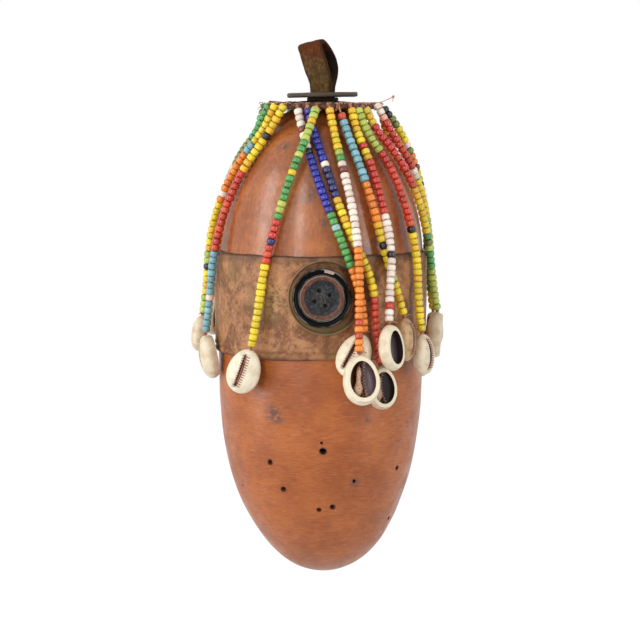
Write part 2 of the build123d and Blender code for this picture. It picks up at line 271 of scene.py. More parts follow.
def tidy_selection():
    """Leave edit mode and deselect everything."""
    if bpy.context.object and bpy.context.object.mode != "OBJECT":
        bpy.ops.object.mode_set(mode="OBJECT")
    bpy.ops.object.select_all(action="DESELECT")


def take_up(piece):
    """Make a piece the only one selected."""
    tidy_selection()
    piece.select_set(True)
    bpy.context.view_layer.objects.active = piece


def started(name):
    """Name the primitive that was just added."""
    piece = bpy.context.active_object
    piece.name = name
    piece.data.name = name
    return piece


def settled(piece):
    """Write a piece's place, turn and scale into its mesh."""
    take_up(piece)
    bpy.ops.object.transform_apply(location=True, rotation=True, scale=True)
    return piece


def modified(piece, kind, **settings):
    """Add a modifier and apply it."""
    take_up(piece)
    modifier = piece.modifiers.new(kind.title(), kind)
    for key, value in settings.items():
        setattr(modifier, key, value)
    bpy.ops.object.modifier_apply(modifier=modifier.name)
    return piece


def closed_up(piece):
    """Merge doubles and turn all faces outwards."""
    take_up(piece)
    bpy.ops.object.mode_set(mode="EDIT")
    bpy.ops.mesh.select_all(action="SELECT")
    bpy.ops.mesh.remove_doubles(threshold=0.000002)
    bpy.ops.mesh.normals_make_consistent(inside=False)
    bpy.ops.object.mode_set(mode="OBJECT")
    return piece


def smoothed(piece, angle=40):
    take_up(piece)
    bpy.ops.object.shade_smooth_by_angle(angle=math.radians(angle))
    return piece


def kneaded(piece, move):
    """Move every point of a piece by a rule."""
    for vertex in piece.data.vertices:
        vertex.co = move(vertex.co.copy())
    piece.data.update()
    return piece


def joined(pieces, name):
    """Join several pieces into the first."""
    tidy_selection()
    for piece in pieces:
        piece.select_set(True)
    bpy.context.view_layer.objects.active = pieces[0]
    bpy.ops.object.join()
    return started(name)


def cut_away(piece, cutter):
    """Take a cutter's shape out of a piece."""
    modified(piece, "BOOLEAN", object=cutter, operation="DIFFERENCE", solver="EXACT")
    bpy.data.objects.remove(cutter)
    return piece


def marked(piece, name, value):
    """Give every point of a piece a number to paint by, fixed or from its place."""
    mesh = piece.data
    layer = mesh.attributes.get(name) or mesh.attributes.new(name, "FLOAT", "POINT")
    for index, vertex in enumerate(mesh.vertices):
        layer.data[index].value = value(vertex.co) if callable(value) else value
    return piece


def turned(name, outline, sides):
    """Turn a shape on the Z axis, ring by ring, from an outline of radii and heights."""
    tidy_selection()
    radius, height = outline[0]
    bpy.ops.mesh.primitive_circle_add(vertices=sides, radius=radius, location=(0, 0, height))
    piece = settled(started(name))
    bpy.ops.object.mode_set(mode="EDIT")
    bpy.ops.mesh.select_all(action="SELECT")
    for next_radius, next_height in outline[1:]:
        rise = (0, 0, next_height - height)
        bpy.ops.mesh.extrude_edges_move(TRANSFORM_OT_translate={"value": rise})
        if next_radius:
            share = next_radius / radius
            bpy.ops.transform.resize(value=(share, share, 1), center_override=(0, 0, next_height))
        else:
            bpy.ops.mesh.merge(type="CENTER")
        radius, height = next_radius, next_height
    bpy.ops.object.mode_set(mode="OBJECT")
    return closed_up(piece)


def copied(model):
    """A copy of a piece, with a mesh of its own."""
    copy = model.copy()
    copy.data = model.data.copy()
    bpy.context.collection.objects.link(copy)
    return copy


def line_added(curve, line):
    """Add one smooth line, led by its points, to a curve."""
    spline = curve.splines.new("NURBS")
    spline.points.add(len(line) - 1)
    for point, place in zip(spline.points, line):
        point.co = (*place, 1)
    spline.order_u = 3
    spline.use_endpoint_u = True


def open_edges(piece):
    """Go into edit mode with a piece's open edges selected."""
    take_up(piece)
    bpy.ops.object.mode_set(mode="EDIT")
    bpy.ops.mesh.select_all(action="DESELECT")
    bpy.ops.mesh.select_non_manifold()


def strands(name, lines, thickness, sides):
    """Thin fibres along lines of points, as one mesh."""
    curve = bpy.data.curves.new(name, "CURVE")
    curve.dimensions = "3D"
    curve.bevel_depth = thickness / 2
    curve.bevel_resolution = sides
    curve.use_fill_caps = True
    curve.resolution_u = 4
    for line in lines:
        line_added(curve, line)
    piece = bpy.data.objects.new(name, curve)
    bpy.context.collection.objects.link(piece)
    take_up(piece)
    bpy.ops.object.convert(target="MESH")
    return started(name)


def rough(place, size, seed):
    """A smooth random number from about -1 to 1, for lumps of a size."""
    return noise.noise(place / size + Vector((seed, 2.7 * seed, -1.3 * seed)))


def eased(value, low, high):
    """0 below low, 1 above high and smooth between."""
    share = min(max((value - low) / (high - low), 0.0), 1.0)
    return share * share * (3 - 2 * share)


# Shader nodes written as arithmetic


class Flow:
    """A value that varies over a surface. Arithmetic on it adds Math nodes."""

    def __init__(self, finish, socket):
        self.finish = finish
        self.socket = socket

    def maths(self, operation, *values):
        settings = {"operation": operation}
        return self.finish.value("ShaderNodeMath", settings, dict(enumerate(values)))

    def __add__(self, other):
        return self.maths("ADD", self, other)

    def __radd__(self, other):
        return self.maths("ADD", other, self)

    def __sub__(self, other):
        return self.maths("SUBTRACT", self, other)

    def __rsub__(self, other):
        return self.maths("SUBTRACT", other, self)

    def __mul__(self, other):
        return self.maths("MULTIPLY", self, other)

    def __rmul__(self, other):
        return self.maths("MULTIPLY", other, self)

    def __abs__(self):
        return self.maths("ABSOLUTE", self)

    def sine(self):
        return self.maths("SINE", self)

    def most(self, other):
        return self.maths("MAXIMUM", self, other)


class Finish:
    """A material, built up from nodes."""

    def __init__(self, name):
        self.material = bpy.data.materials.new(name)
        self.material.use_nodes = True
        self.tree = self.material.node_tree
        self.tree.nodes.clear()
        self.places = self.value("ShaderNodeTexCoord", output="Object")

    def node(self, kind, settings=None, sockets=None):
        """Add a node: its settings come first, then its sockets' values and links."""
        made = self.tree.nodes.new(kind)
        for key, value in (settings or {}).items():
            setattr(made, key, value)
        for key, value in (sockets or {}).items():
            socket = self.found(made.inputs, key)
            if isinstance(value, Flow):
                self.tree.links.new(value.socket, socket)
            else:
                socket.default_value = value
        return made

    def found(self, sockets, key):
        if isinstance(key, int):
            return sockets[key]
        return next(socket for socket in sockets if socket.name == key and socket.enabled)

    def value(self, kind, settings=None, sockets=None, output=0):
        """Add a node and take one of its outputs."""
        made = self.node(kind, settings, sockets)
        return Flow(self, self.found(made.outputs, output))

    def attribute(self, name, output="Fac"):
        return self.value("ShaderNodeAttribute", {"attribute_name": name}, output=output)

    def stretched(self, x, y, z):
        """Places scaled by axis, so that a pattern runs along the smallest."""
        sockets = {0: self.places, 1: (x, y, z)}
        return self.value("ShaderNodeVectorMath", {"operation": "MULTIPLY"}, sockets)

    def part(self, axis, places=None):
        sockets = {"Vector": places or self.places}
        return self.value("ShaderNodeSeparateXYZ", sockets=sockets, output=axis)

    def noise(self, size, detail=3.0, roughness=0.55, places=None, warp=0.0):
        """Noise from 0 to 1 in lumps of a size in metres."""
        sockets = {
            "Vector": places or self.places,
            "Scale": 1 / size,
            "Detail": detail,
            "Roughness": roughness,
            "Distortion": warp,
        }
        return self.value("ShaderNodeTexNoise", sockets=sockets)

    def cells(self, size):
        """Distance from the middles of cells of a size in metres."""
        sockets = {"Vector": self.places, "Scale": 1 / size}
        return self.value("ShaderNodeTexVoronoi", {"feature": "F1"}, sockets, "Distance")

    def between(self, value, low, high):
        """0 below low, 1 above high and smooth between."""
        settings = {"interpolation_type": "SMOOTHSTEP"}
        sockets = {"Value": value, "From Min": low, "From Max": high}
        return self.value("ShaderNodeMapRange", settings, sockets)

    def spot(self, centre, inner, outer, places=None):
        """1 within the inner distance of a place, 0 past the outer."""
        sockets = {0: places or self.places, 1: centre}
        away = self.value("ShaderNodeVectorMath", {"operation": "DISTANCE"}, sockets, "Value")
        return 1 - self.between(away, inner, outer)

    def mixed(self, first, second, share):
        settings = {"data_type": "RGBA", "blend_type": "MIX"}
        sockets = {"Factor": share, "A": first, "B": second}
        return self.value("ShaderNodeMix", settings, sockets, "Result")

    def bumped(self, height, depth, strength=1.0, over=None):
        """A normal from a height of 0 to 1, which stands for a depth in metres."""
        sockets = {"Height": height, "Distance": depth, "Strength": strength}
        if over:
            sockets["Normal"] = over
        return self.value("ShaderNodeBump", sockets=sockets)

    def surface(self, colour, roughness, normal=None, **constants):
        sockets = {"Base Color": colour, "Roughness": roughness}
        if normal:
            sockets["Normal"] = normal
        for key, value in constants.items():
            sockets[key.replace("_", " ")] = value
        shader = self.value("ShaderNodeBsdfPrincipled", sockets=sockets)
        self.node("ShaderNodeOutputMaterial", sockets={"Surface": shader})
        return self.material


def paint(red, green, blue):
    """A paint value from 0 to 255 as a shader colour."""
    shares = [value / 255 for value in (red, green, blue)]
    linear = [s / 12.92 if s <= 0.04045 else ((s + 0.055) / 1.055) ** 2.4 for s in shares]
    return (*linear, 1.0)


# Finishes


def gourd_skin(name, light, dark, smudges, gloss, streak):
    """Polished gourd: cloudy colour, fine streaks, worn specks and grey smudges."""
    skin = Finish(name)
    clouds = skin.noise(0.022, 4.0, 0.6)
    streaks = skin.noise(0.0016, 4.0, 0.62, skin.stretched(*streak))
    colour = skin.mixed(paint(*dark), paint(*light), skin.between(clouds, 0.32, 0.68))
    colour = skin.mixed(colour, paint(108, 52, 25), skin.between(streaks, 0.50, 0.74) * 0.42)
    colour = skin.mixed(colour, paint(214, 136, 74), skin.between(streaks, 0.50, 0.26) * 0.34)
    scratches = skin.noise(0.0010, 2.0, 0.5, skin.stretched(0.18, 0.18, 2.6))
    colour = skin.mixed(colour, paint(100, 50, 26), skin.between(scratches, 0.60, 0.72) * 0.5)
    pores = skin.cells(0.0011)
    specks = skin.between(pores, 0.24, 0.08) * skin.between(skin.noise(0.006), 0.42, 0.60)
    colour = skin.mixed(colour, paint(78, 42, 26), specks * 0.65)
    grime = skin.noise(0.0022, 4.0, 0.7)
    for turn, height, width in smudges:
        centre = on_body(turn, height / 1000)
        mask = skin.spot(centre, 0.0, width / 1500) * skin.between(grime, 0.38, 0.58)
        colour = skin.mixed(colour, paint(74, 62, 62), mask * 0.85)
    dents = skin.noise(0.0065, 3.0, 0.5)
    normal = skin.bumped(dents, 0.00022, 1.0)
    normal = skin.bumped(skin.noise(0.0017, 3.0, 0.6), 0.00009, 0.9, normal)
    normal = skin.bumped(streaks, 0.00005, 0.8, normal)
    wear = skin.noise(0.009, 4.0, 0.65)
    roughness = gloss + skin.between(wear, 0.35, 0.7) * 0.16 + streaks * 0.08
    return skin, colour, roughness, normal


def dome_gourd():
    skin, colour, roughness, normal = gourd_skin(
        "dome_gourd", (180, 104, 50), (142, 72, 30), DOME_SMUDGES, 0.23, (1.0, 1.0, 0.42)
    )
    return skin.surface(colour, roughness, normal, Coat_Weight=0.22, Coat_Roughness=0.12)


def cup_gourd():
    skin, colour, roughness, normal = gourd_skin(
        "cup_gourd", (184, 102, 46), (158, 80, 31), CUP_SMUDGES, 0.28, (0.35, 0.35, 2.2)
    )
    for turn, height, width in BORER_HOLES:
        centre = on_body(turn, height / 1000)
        # Painted shade: each insect hole's walls are darkened, fading out through a dark ring round its
        # mouth
        rim = skin.spot(centre, width / 2100, width / 1150)
        colour = skin.mixed(colour, paint(38, 22, 16), rim * 0.9)
    return skin.surface(colour, roughness, normal, Specular_IOR_Level=0.5)


def band_leather():
    """Old leather: mottled, with a pale painted highlight in patches on its lit front-left, painted shade
    under its top edge and darker along its foot.
    """
    hide = Finish("band_leather")
    blotches = hide.noise(0.012, 5.0, 0.65, warp=0.6)
    mottle = hide.noise(0.0021, 5.0, 0.7)
    colour = hide.mixed(paint(122, 72, 36), paint(184, 128, 84), hide.between(blotches, 0.36, 0.62))
    colour = hide.mixed(colour, paint(84, 46, 20), hide.between(mottle, 0.52, 0.68) * 0.7)
    colour = hide.mixed(colour, paint(208, 160, 110), hide.between(mottle, 0.46, 0.30) * 0.6)
    grit = hide.noise(0.0008, 4.0, 0.75)
    colour = hide.mixed(colour, paint(76, 44, 22), hide.between(grit, 0.54, 0.7) * 0.5)
    # A painted highlight: a pale pinkish patch on the lit front-left of the band, broken up by the mottle
    rubbed = hide.spot(on_body(-28, -0.122, 0.002), 0.002, 0.013) * hide.between(mottle, 0.6, 0.4)
    colour = hide.mixed(colour, paint(212, 170, 112), rubbed * 0.75)
    flake = hide.spot(on_body(-3.6, BAND_TOP - 0.0006, 0.0016), 0.0016, 0.0036)
    colour = hide.mixed(colour, paint(74, 44, 24), flake * 0.8)
    olive = hide.between(hide.noise(0.018, 3.0, 0.5, warp=0.3), 0.52, 0.7)
    colour = hide.mixed(colour, paint(112, 88, 44), olive * 0.45)
    height = hide.part("Z")
    wobble = (hide.noise(0.004, 3.0) - 0.5) * 0.0012
    # Painted shade: a wide darker strip below the band's top edge, and a dark line right along that edge
    # where it meets the dome
    shade = hide.between(height + wobble, BAND_TOP - 0.0060, BAND_TOP - 0.0010)
    colour = hide.mixed(colour, paint(78, 50, 28), shade * 0.5)
    top = hide.between(height + wobble, BAND_TOP - 0.0016, BAND_TOP - 0.0002)
    colour = hide.mixed(colour, paint(52, 30, 16), top * 0.8)
    foot = hide.between(height + wobble, BAND_BOTTOM + 0.0012, BAND_BOTTOM)
    colour = hide.mixed(colour, paint(82, 46, 26), foot * 0.7)
    grain = hide.cells(0.00075)
    normal = hide.bumped(hide.noise(0.0048, 4.0, 0.6), 0.00045, 1.0)
    normal = hide.bumped(mottle, 0.0003, 0.9, normal)
    normal = hide.bumped(grit, 0.0001, 0.8, normal)
    normal = hide.bumped(grain, 0.00006, 0.7, normal)
    roughness = 0.44 + mottle * 0.22
    return hide.surface(colour, roughness - 0.06, normal, Specular_IOR_Level=0.45)


def eye_backing():
    """Moulded leather, olive at its foot, lighter on its left as painted light, pale at its lip from wear
    and a painted highlight, with painted shade in its groove, against the ring and black in its bed.
    """
    hide = Finish("eye_backing")
    mottle = hide.noise(0.0024, 5.0, 0.68)
    height = hide.part("Z")
    colour = hide.mixed(paint(120, 80, 48), paint(72, 46, 28), hide.between(mottle, 0.38, 0.62))
    foot = hide.between(height, EYE_HEIGHT - 0.006, EYE_HEIGHT - 0.0155)
    colour = hide.mixed(colour, paint(112, 100, 60), foot * hide.between(mottle, 0.3, 0.6))
    # Painted light: the backing's left side is lightened, as if lit from the left
    across = hide.between(hide.part("X"), EYE_X - 0.008, EYE_X - 0.018)
    colour = hide.mixed(colour, paint(150, 110, 72), across * 0.3)
    # Pale along the lip: rubbed wear together with a painted highlight line round the rim
    colour = hide.mixed(colour, paint(172, 140, 98), hide.attribute("lip") * 0.45)
    # Painted shade in the groove near the lip and against the black ring
    colour = hide.mixed(colour, paint(30, 20, 14), hide.attribute("groove") * 0.75)
    # Painted shade: the bed under the ring and button is painted black
    colour = hide.mixed(colour, paint(10, 8, 7), hide.attribute("bed"))
    normal = hide.bumped(mottle, 0.0003, 0.9)
    return hide.surface(colour, 0.42 + mottle * 0.2, normal, Specular_IOR_Level=0.3)


def black_ring():
    """Glossy black, pale along its rims from scuffs and a painted highlight, with one pale chip."""
    horn = Finish("black_ring")
    scuffs = horn.noise(0.0012, 5.0, 0.7)
    patches = horn.noise(0.006, 3.0, 0.6)
    colour = horn.mixed(paint(9, 8, 8), paint(52, 46, 42), horn.between(scuffs, 0.62, 0.8) * 0.35)
    # Pale rims: scuffed wear together with a painted highlight along the outer and inner edges
    rim = horn.attribute("rim") * horn.between(patches, 0.36, 0.60)
    colour = horn.mixed(colour, paint(166, 166, 160), rim * 0.75)
    chip = horn.attribute("chip")
    colour = horn.mixed(colour, paint(214, 186, 174), horn.between(chip, 0.35, 0.6))
    normal = horn.bumped(scuffs, 0.0001, 0.6)
    return horn.surface(colour, 0.2 + scuffs * 0.24, normal, Specular_IOR_Level=0.1)


def button_horn():
    """Dark worn button: red-brown rim ringed by a painted highlight, blue-black dish, pale scratches
    between the holes, and painted shade down the holes.
    """
    horn = Finish("button")
    mottle = horn.noise(0.0016, 5.0, 0.7)
    patches = horn.noise(0.0042, 3.0, 0.6)
    sockets = {0: horn.stretched(1, 0, 1), 1: (EYE_X, 0, EYE_HEIGHT)}
    away = horn.value("ShaderNodeVectorMath", {"operation": "DISTANCE"}, sockets, "Value")
    ragged = away + (mottle - 0.5) * 0.0022 + (patches - 0.5) * 0.0022
    dish = 1 - horn.between(ragged, 0.0081, 0.0088)
    colour = horn.mixed(paint(122, 70, 52), paint(80, 46, 36), horn.between(mottle, 0.42, 0.60))
    outer = horn.between(away + (patches - 0.5) * 0.0016, 0.0092, 0.0098)
    colour = horn.mixed(colour, paint(60, 36, 28), outer * 0.35)
    # A painted highlight: a pale ring round the button's outer edge
    colour = horn.mixed(colour, paint(178, 154, 132), horn.between(away, 0.0100, 0.0106) * 0.75)
    worn = horn.mixed(paint(6, 6, 9), paint(64, 67, 74), horn.between(mottle, 0.49, 0.68))
    pale = horn.between(patches, 0.52, 0.66) * horn.between(away, 0.0040, 0.0070)
    worn = horn.mixed(worn, paint(70, 80, 90), pale * 0.6)
    colour = horn.mixed(colour, worn, dish)
    scratch = horn.noise(0.0013, 3.0, 0.6, horn.stretched(1.6, 1.0, 0.5), 1.2)
    rubbed = (1 - horn.between(away, 0.0018, 0.0056)) * horn.between(scratch, 0.46, 0.62)
    colour = horn.mixed(colour, paint(92, 78, 62), rubbed * 0.7)
    # Painted shade: the thread holes' walls are painted near black
    pit = horn.between(horn.attribute("pit"), 0.3, 0.7)
    colour = horn.mixed(colour, paint(4, 3, 3), pit)
    normal = horn.bumped(mottle, 0.0003, 1.0)
    normal = horn.bumped(scratch, 0.0002, 0.9, normal)
    return horn.surface(colour, 0.22 + mottle * 0.28 + pit * 0.4, normal, Specular_IOR_Level=0.3)


def collar_leather():
    hide = Finish("collar_leather")
    mottle = hide.noise(0.002, 5.0, 0.7)
    colour = hide.mixed(paint(96, 60, 34), paint(54, 32, 18), hide.between(mottle, 0.4, 0.62))
    normal = hide.bumped(mottle, 0.0003, 0.9)
    return hide.surface(colour, 0.62, normal)


def pad_leather():
    hide = Finish("pad_leather")
    mottle = hide.noise(0.0014, 4.0, 0.65)
    colour = hide.mixed(paint(34, 24, 16), paint(58, 40, 26), hide.between(mottle, 0.45, 0.7))
    normal = hide.bumped(mottle, 0.0002, 0.9)
    return hide.surface(colour, 0.7, normal)


def yarn_finish(name, dark, light):
    """Twisted fibre, darker in its folds."""
    yarn = Finish(name)
    shade = yarn.noise(0.0016, 4.0, 0.7)
    colour = yarn.mixed(paint(*dark), paint(*light), yarn.between(shade, 0.36, 0.68))
    lines = yarn.noise(0.0004, 2.0, 0.5, yarn.stretched(1, 1, 0.3))
    normal = yarn.bumped(lines, 0.0001, 0.8)
    return yarn.surface(colour, 0.68, normal)


def iron():
    """Old iron washer: dull grey-brown with rust and rubbed edges."""
    metal = Finish("iron")
    rust = metal.noise(0.003, 5.0, 0.7)
    pits = metal.noise(0.0008, 4.0, 0.7)
    colour = metal.mixed(paint(76, 65, 47), paint(58, 41, 26), metal.between(rust, 0.42, 0.62))
    colour = metal.mixed(colour, paint(114, 104, 84), metal.between(pits, 0.58, 0.74) * 0.6)
    colour = metal.mixed(colour, paint(42, 34, 24), metal.between(pits, 0.42, 0.3) * 0.7)
    normal = metal.bumped(pits, 0.00016, 0.9)
    bare = metal.between(rust, 0.55, 0.4) * 0.55
    return metal.surface(colour, 0.46 + rust * 0.25, normal, Metallic=bare)


def strap_leather():
    """Suede strap: red-brown at the fold, olive-brown and hairy lower down, its rear leg near black with
    painted shade.
    """
    hide = Finish("strap_leather")
    height = hide.part("Z")
    nap = hide.noise(0.0011, 5.0, 0.75, hide.stretched(1, 1, 0.5))
    fold = hide.between(height, -0.0135, -0.0015)
    low = hide.mixed(paint(82, 60, 34), paint(122, 96, 58), hide.between(nap, 0.42, 0.66))
    high = hide.mixed(paint(84, 42, 22), paint(112, 62, 34), hide.between(nap, 0.42, 0.66))
    colour = hide.mixed(low, high, fold)
    colour = hide.mixed(colour, paint(46, 28, 16), hide.attribute("edge") * 0.75)
    colour = hide.mixed(colour, paint(34, 22, 14), hide.between(nap, 0.38, 0.22) * 0.6)
    # Painted shade: the rear leg below the fold is painted near black
    colour = hide.mixed(colour, paint(20, 13, 9), hide.attribute("rear") * 0.88)
    normal = hide.bumped(nap, 0.0004, 0.9)
    return hide.surface(colour, 0.86, normal, Specular_IOR_Level=0.12)


def toggle_wood():
    wood = Finish("toggle_wood")
    grain = wood.noise(0.0012, 4.0, 0.6, wood.stretched(0.1, 1, 1))
    colour = wood.mixed(paint(120, 78, 44), paint(74, 44, 24), wood.between(grain, 0.4, 0.62))
    normal = wood.bumped(grain, 0.0001, 0.8)
    return wood.surface(colour, 0.6, normal)


def glass_beads():
    """Opaque seed beads, each its own colour, darker round its thread hole."""
    glass = Finish("glass_beads")
    own = glass.attribute("glass", "Color")
    cloud = glass.noise(0.0013, 3.0, 0.6)
    colour = glass.mixed(own, paint(84, 60, 36), glass.between(cloud, 0.56, 0.80) * 0.16)
    # Each bead is darkened round its thread hole, where it meets the next
    mouth_darkening = glass.between(glass.attribute("mouth"), 0.45, 1.0)
    colour = glass.mixed(colour, paint(84, 60, 36), mouth_darkening * 0.42)
    normal = glass.bumped(cloud, 0.00008, 0.5)
    roughness = 0.2 + cloud * 0.22
    return glass.surface(colour, roughness, normal, Coat_Weight=0.3, Coat_Roughness=0.1)


def slit_line(along):
    """Where a cowrie's slit runs, across the shell, for a place along it."""
    return -0.018 + 0.05 * along - 0.26 * along * along


def cowrie_shell():
    """Cream shell with a brown toothed slit and a purple-brown inside, and painted shade down the slit and
    inside.
    """
    shell = Finish("cowrie_shell")
    own = shell.attribute("shell_place", "Vector")
    across = shell.part("X", own)
    through = shell.part("Y", own)
    along = shell.part("Z", own)
    tan = shell.attribute("tan")
    cloud = shell.noise(0.2, 4.0, 0.6, own)
    fine = shell.noise(0.03, 4.0, 0.7, own)
    cream = shell.mixed(paint(250, 239, 214), paint(234, 218, 186), shell.between(cloud, 0.4, 0.68))
    buff = shell.mixed(paint(206, 168, 122), paint(168, 122, 80), shell.between(cloud, 0.4, 0.66))
    outside = shell.mixed(cream, buff, tan)
    side = across - slit_line(along)
    ends = shell.between(abs(along - 0.01), 0.42, 0.33)
    face = shell.between(through, -0.08, -0.13)
    fade = shell.between(shell.noise(0.012, 3.0, 0.7, own), 0.36, 0.56)
    teeth = (along * 112.0 + side * 6.0).sine() * 0.5 + 0.5
    right = shell.between(side, 0.150, 0.09) * shell.between(side, 0.0, 0.012)
    left = shell.between(side, -0.075, -0.042) * shell.between(side, 0.0, -0.012)
    comb = (right + left * fade) * shell.between(teeth, 0.32, 0.56) * ends * face
    outside = shell.mixed(outside, paint(146, 70, 46), comb * (0.6 + fade * 0.35))
    stain = shell.between(abs(side - 0.01), 0.085, 0.02) * ends * face
    outside = shell.mixed(outside, paint(150, 84, 58), stain * 0.55)
    # Painted shade: dark along the middle of the slit's opening
    throat_shade = shell.between(abs(side) + along * along * 0.18, 0.052, 0.034) * ends * face
    outside = shell.mixed(outside, paint(66, 24, 16), throat_shade)
    inner = shell.mixed(paint(128, 68, 38), paint(118, 84, 94), shell.between(side, -0.02, -0.09))
    inner = shell.mixed(inner, paint(56, 32, 24), shell.between(fine, 0.5, 0.72) * 0.6)
    # Painted shade inside the shell, by each cowrie's own amount
    inner = shell.mixed(inner, paint(24, 14, 12), shell.attribute("gloom") * 0.85)
    lip_teeth = (along * 96.0).sine() * 0.020 + 0.07
    lip = shell.between(abs(side + lip_teeth), 0.030, 0.014) * ends
    inner = shell.mixed(inner, paint(206, 172, 154), lip * 0.8)
    colour = shell.mixed(outside, inner, shell.attribute("inside"))
    rim = shell.between(through, 0.129, 0.135)
    ground = shell.mixed(paint(252, 240, 210), paint(238, 222, 186), shell.between(fine, 0.45, 0.7))
    colour = shell.mixed(colour, ground, rim)
    core = shell.mixed(paint(226, 184, 152), paint(184, 120, 84), shell.between(fine, 0.45, 0.65))
    pit = shell.spot((0.05, -0.01, -0.16), 0.010, 0.018, own)
    core = shell.mixed(core, paint(30, 16, 12), pit)
    colour = shell.mixed(colour, core, shell.attribute("core"))
    height = comb * -0.6 + fine * 0.15
    normal = shell.bumped(height, 0.0006, 0.8)
    roughness = 0.26 + rim * 0.3 + cloud * 0.12
    return shell.surface(colour, roughness, normal, Specular_IOR_Level=0.4)


# The gourd's own shape


def domed_radius(radius, depth, fullness, along):
    share = min(max(along / depth, 0.0), 1.0)
    return radius * (1 - share**fullness) ** (1 / fullness)


def body_radius(height, stand_off=0.0):
    """Radius of a surface that stands off the dome, waist and cup."""
    if height > SHOULDER:
        along = height - SHOULDER
        return domed_radius(DOME_RADIUS + stand_off, DOME_HEIGHT + stand_off, DOME_FULLNESS, along)
    if height < WAIST:
        along = WAIST - height
        return domed_radius(CUP_RADIUS + stand_off, CUP_DEPTH + stand_off, CUP_FULLNESS, along)
    share = (SHOULDER - height) / (SHOULDER - WAIST)
    return DOME_RADIUS + (CUP_RADIUS - DOME_RADIUS) * share + stand_off


def outer_radius(height, stand_off=0.0):
    """Radius of a surface that stands off the body, easing out over the band's edges."""
    above = (BAND_TOP + BAND_LEAD - height) / BAND_LEAD
    below = (height - BAND_BOTTOM + BAND_LEAD) / BAND_LEAD
    share = min(max(min(above, below), 0.0), 1.0)
    return body_radius(height, stand_off) + BAND_THICKNESS * share


def around(turn, radius, height):
    """A point at a turn round the body, measured from the front towards +X."""
    angle = math.radians(turn)
    return Vector((radius * math.sin(angle), -radius * math.cos(angle), height))


def on_body(turn, height, stand_off=0.0):
    return around(turn, body_radius(height) + stand_off, height)


def domed_outline(radius, depth, fullness, widest, way, last_angle, rings):
    """Radii and heights of a domed half, from its widest place towards its end."""
    outline = []
    for ring in range(rings + 1):
        angle = math.radians(last_angle * ring / rings)
        across = radius * math.cos(angle) ** (2 / fullness)
        along = depth * math.sin(angle) ** (2 / fullness)
        outline.append((across, widest + way * along))
    return outline


def lumpy(place):
    """The gourd's slight unevenness."""
    flat = Vector((place.x, place.y, 0))
    if flat.length < 1e-6:
        return place + Vector((CUP_LEAN if place.z < -0.25 else 0, 0, 0))
    swell = 0.0005 * rough(place, 0.045, 3) + 0.00016 * rough(place, 0.013, 5)
    lean = Vector((CUP_LEAN * eased(-place.z, 0.222, 0.256), 0, 0))
    return place + lean + flat.normalized() * swell * eased(flat.length, 0.004, 0.02)


def round_peg(sides, radius):
    """A peg on the Z axis to cut a hole with."""
    tidy_selection()
    bpy.ops.mesh.primitive_cylinder_add(vertices=sides, radius=radius, depth=PEG_LENGTH)
    return started("peg")


def borer_cutter():
    """Slightly oval pegs that stand where the insect holes go."""
    pegs = []
    for turn, height, width in BORER_HOLES:
        place = on_body(turn, height / 1000)
        inwards = Vector((-place.x, -place.y, 0.25 * (-0.16 - place.z)))
        peg = round_peg(BORER_SIDES, width / 2000)
        peg.scale = (1.25, 0.95, 1)
        peg.rotation_euler = inwards.to_track_quat("Z", "Y").to_euler()
        peg.rotation_euler.rotate_axis("Z", math.radians(25 + 3 * turn))
        peg.location = place
        pegs.append(settled(peg))
    return joined(pegs, "pegs")


def gourd_dome():
    start = [(body_radius(JOINT), JOINT), (body_radius(-0.120), -0.120)]
    crown = domed_outline(DOME_RADIUS, DOME_HEIGHT, DOME_FULLNESS, SHOULDER, 1, DOME_END, DOME_RINGS)
    dome = turned("gourd_dome", start + crown, GOURD_SIDES)
    kneaded(dome, lumpy)
    modified(dome, "SOLIDIFY", thickness=WALL, offset=-1)
    return placed(smoothed(dome), "gourd", "dome_gourd", "upper_shell")


def gourd_cup():
    start = [(body_radius(JOINT), JOINT), (body_radius(-0.139), -0.139), (body_radius(-0.151), -0.151)]
    base = domed_outline(CUP_RADIUS, CUP_DEPTH, CUP_FULLNESS, WAIST, -1, CUP_END, CUP_RINGS)
    cup = turned("gourd_cup", start + base + [(0, WAIST - CUP_DEPTH)], GOURD_SIDES)
    kneaded(cup, lumpy)
    modified(cup, "SOLIDIFY", thickness=WALL, offset=-1)
    cut_away(cup, borer_cutter())
    return placed(smoothed(cup), "gourd", "cup_gourd", "lower_shell")


# The band round the joint


def band_outline():
    """Radii and heights of the band: a thick top lip, a plain middle and a double ridge at its foot."""
    stations = [
        (0.0001, BAND_TOP - 0.0004),
        (0.0010, BAND_TOP),
        (0.0017, BAND_TOP - 0.0003),
        (0.0021, BAND_TOP - 0.0010),
        (0.0020, BAND_TOP - 0.0019),
        (0.0017, BAND_TOP - 0.0030),
    ]
    for step in range(30):
        stations.append((0.0016, BAND_TOP - 0.0045 - step * 0.0013))
    foot = (
        (0.0016, 0.0066), (0.0016, 0.0056), (0.0018, 0.0048), (0.0019, 0.0041), (0.0014, 0.0034),
        (0.0012, 0.0029), (0.0016, 0.0023), (0.0018, 0.0016), (0.0015, 0.0008), (0.0008, 0.0001),
        (0.0001, -0.0001),
    )
    stations += [(proud, BAND_BOTTOM + up) for proud, up in foot]
    return [(body_radius(height) + proud, height) for proud, height in stations]


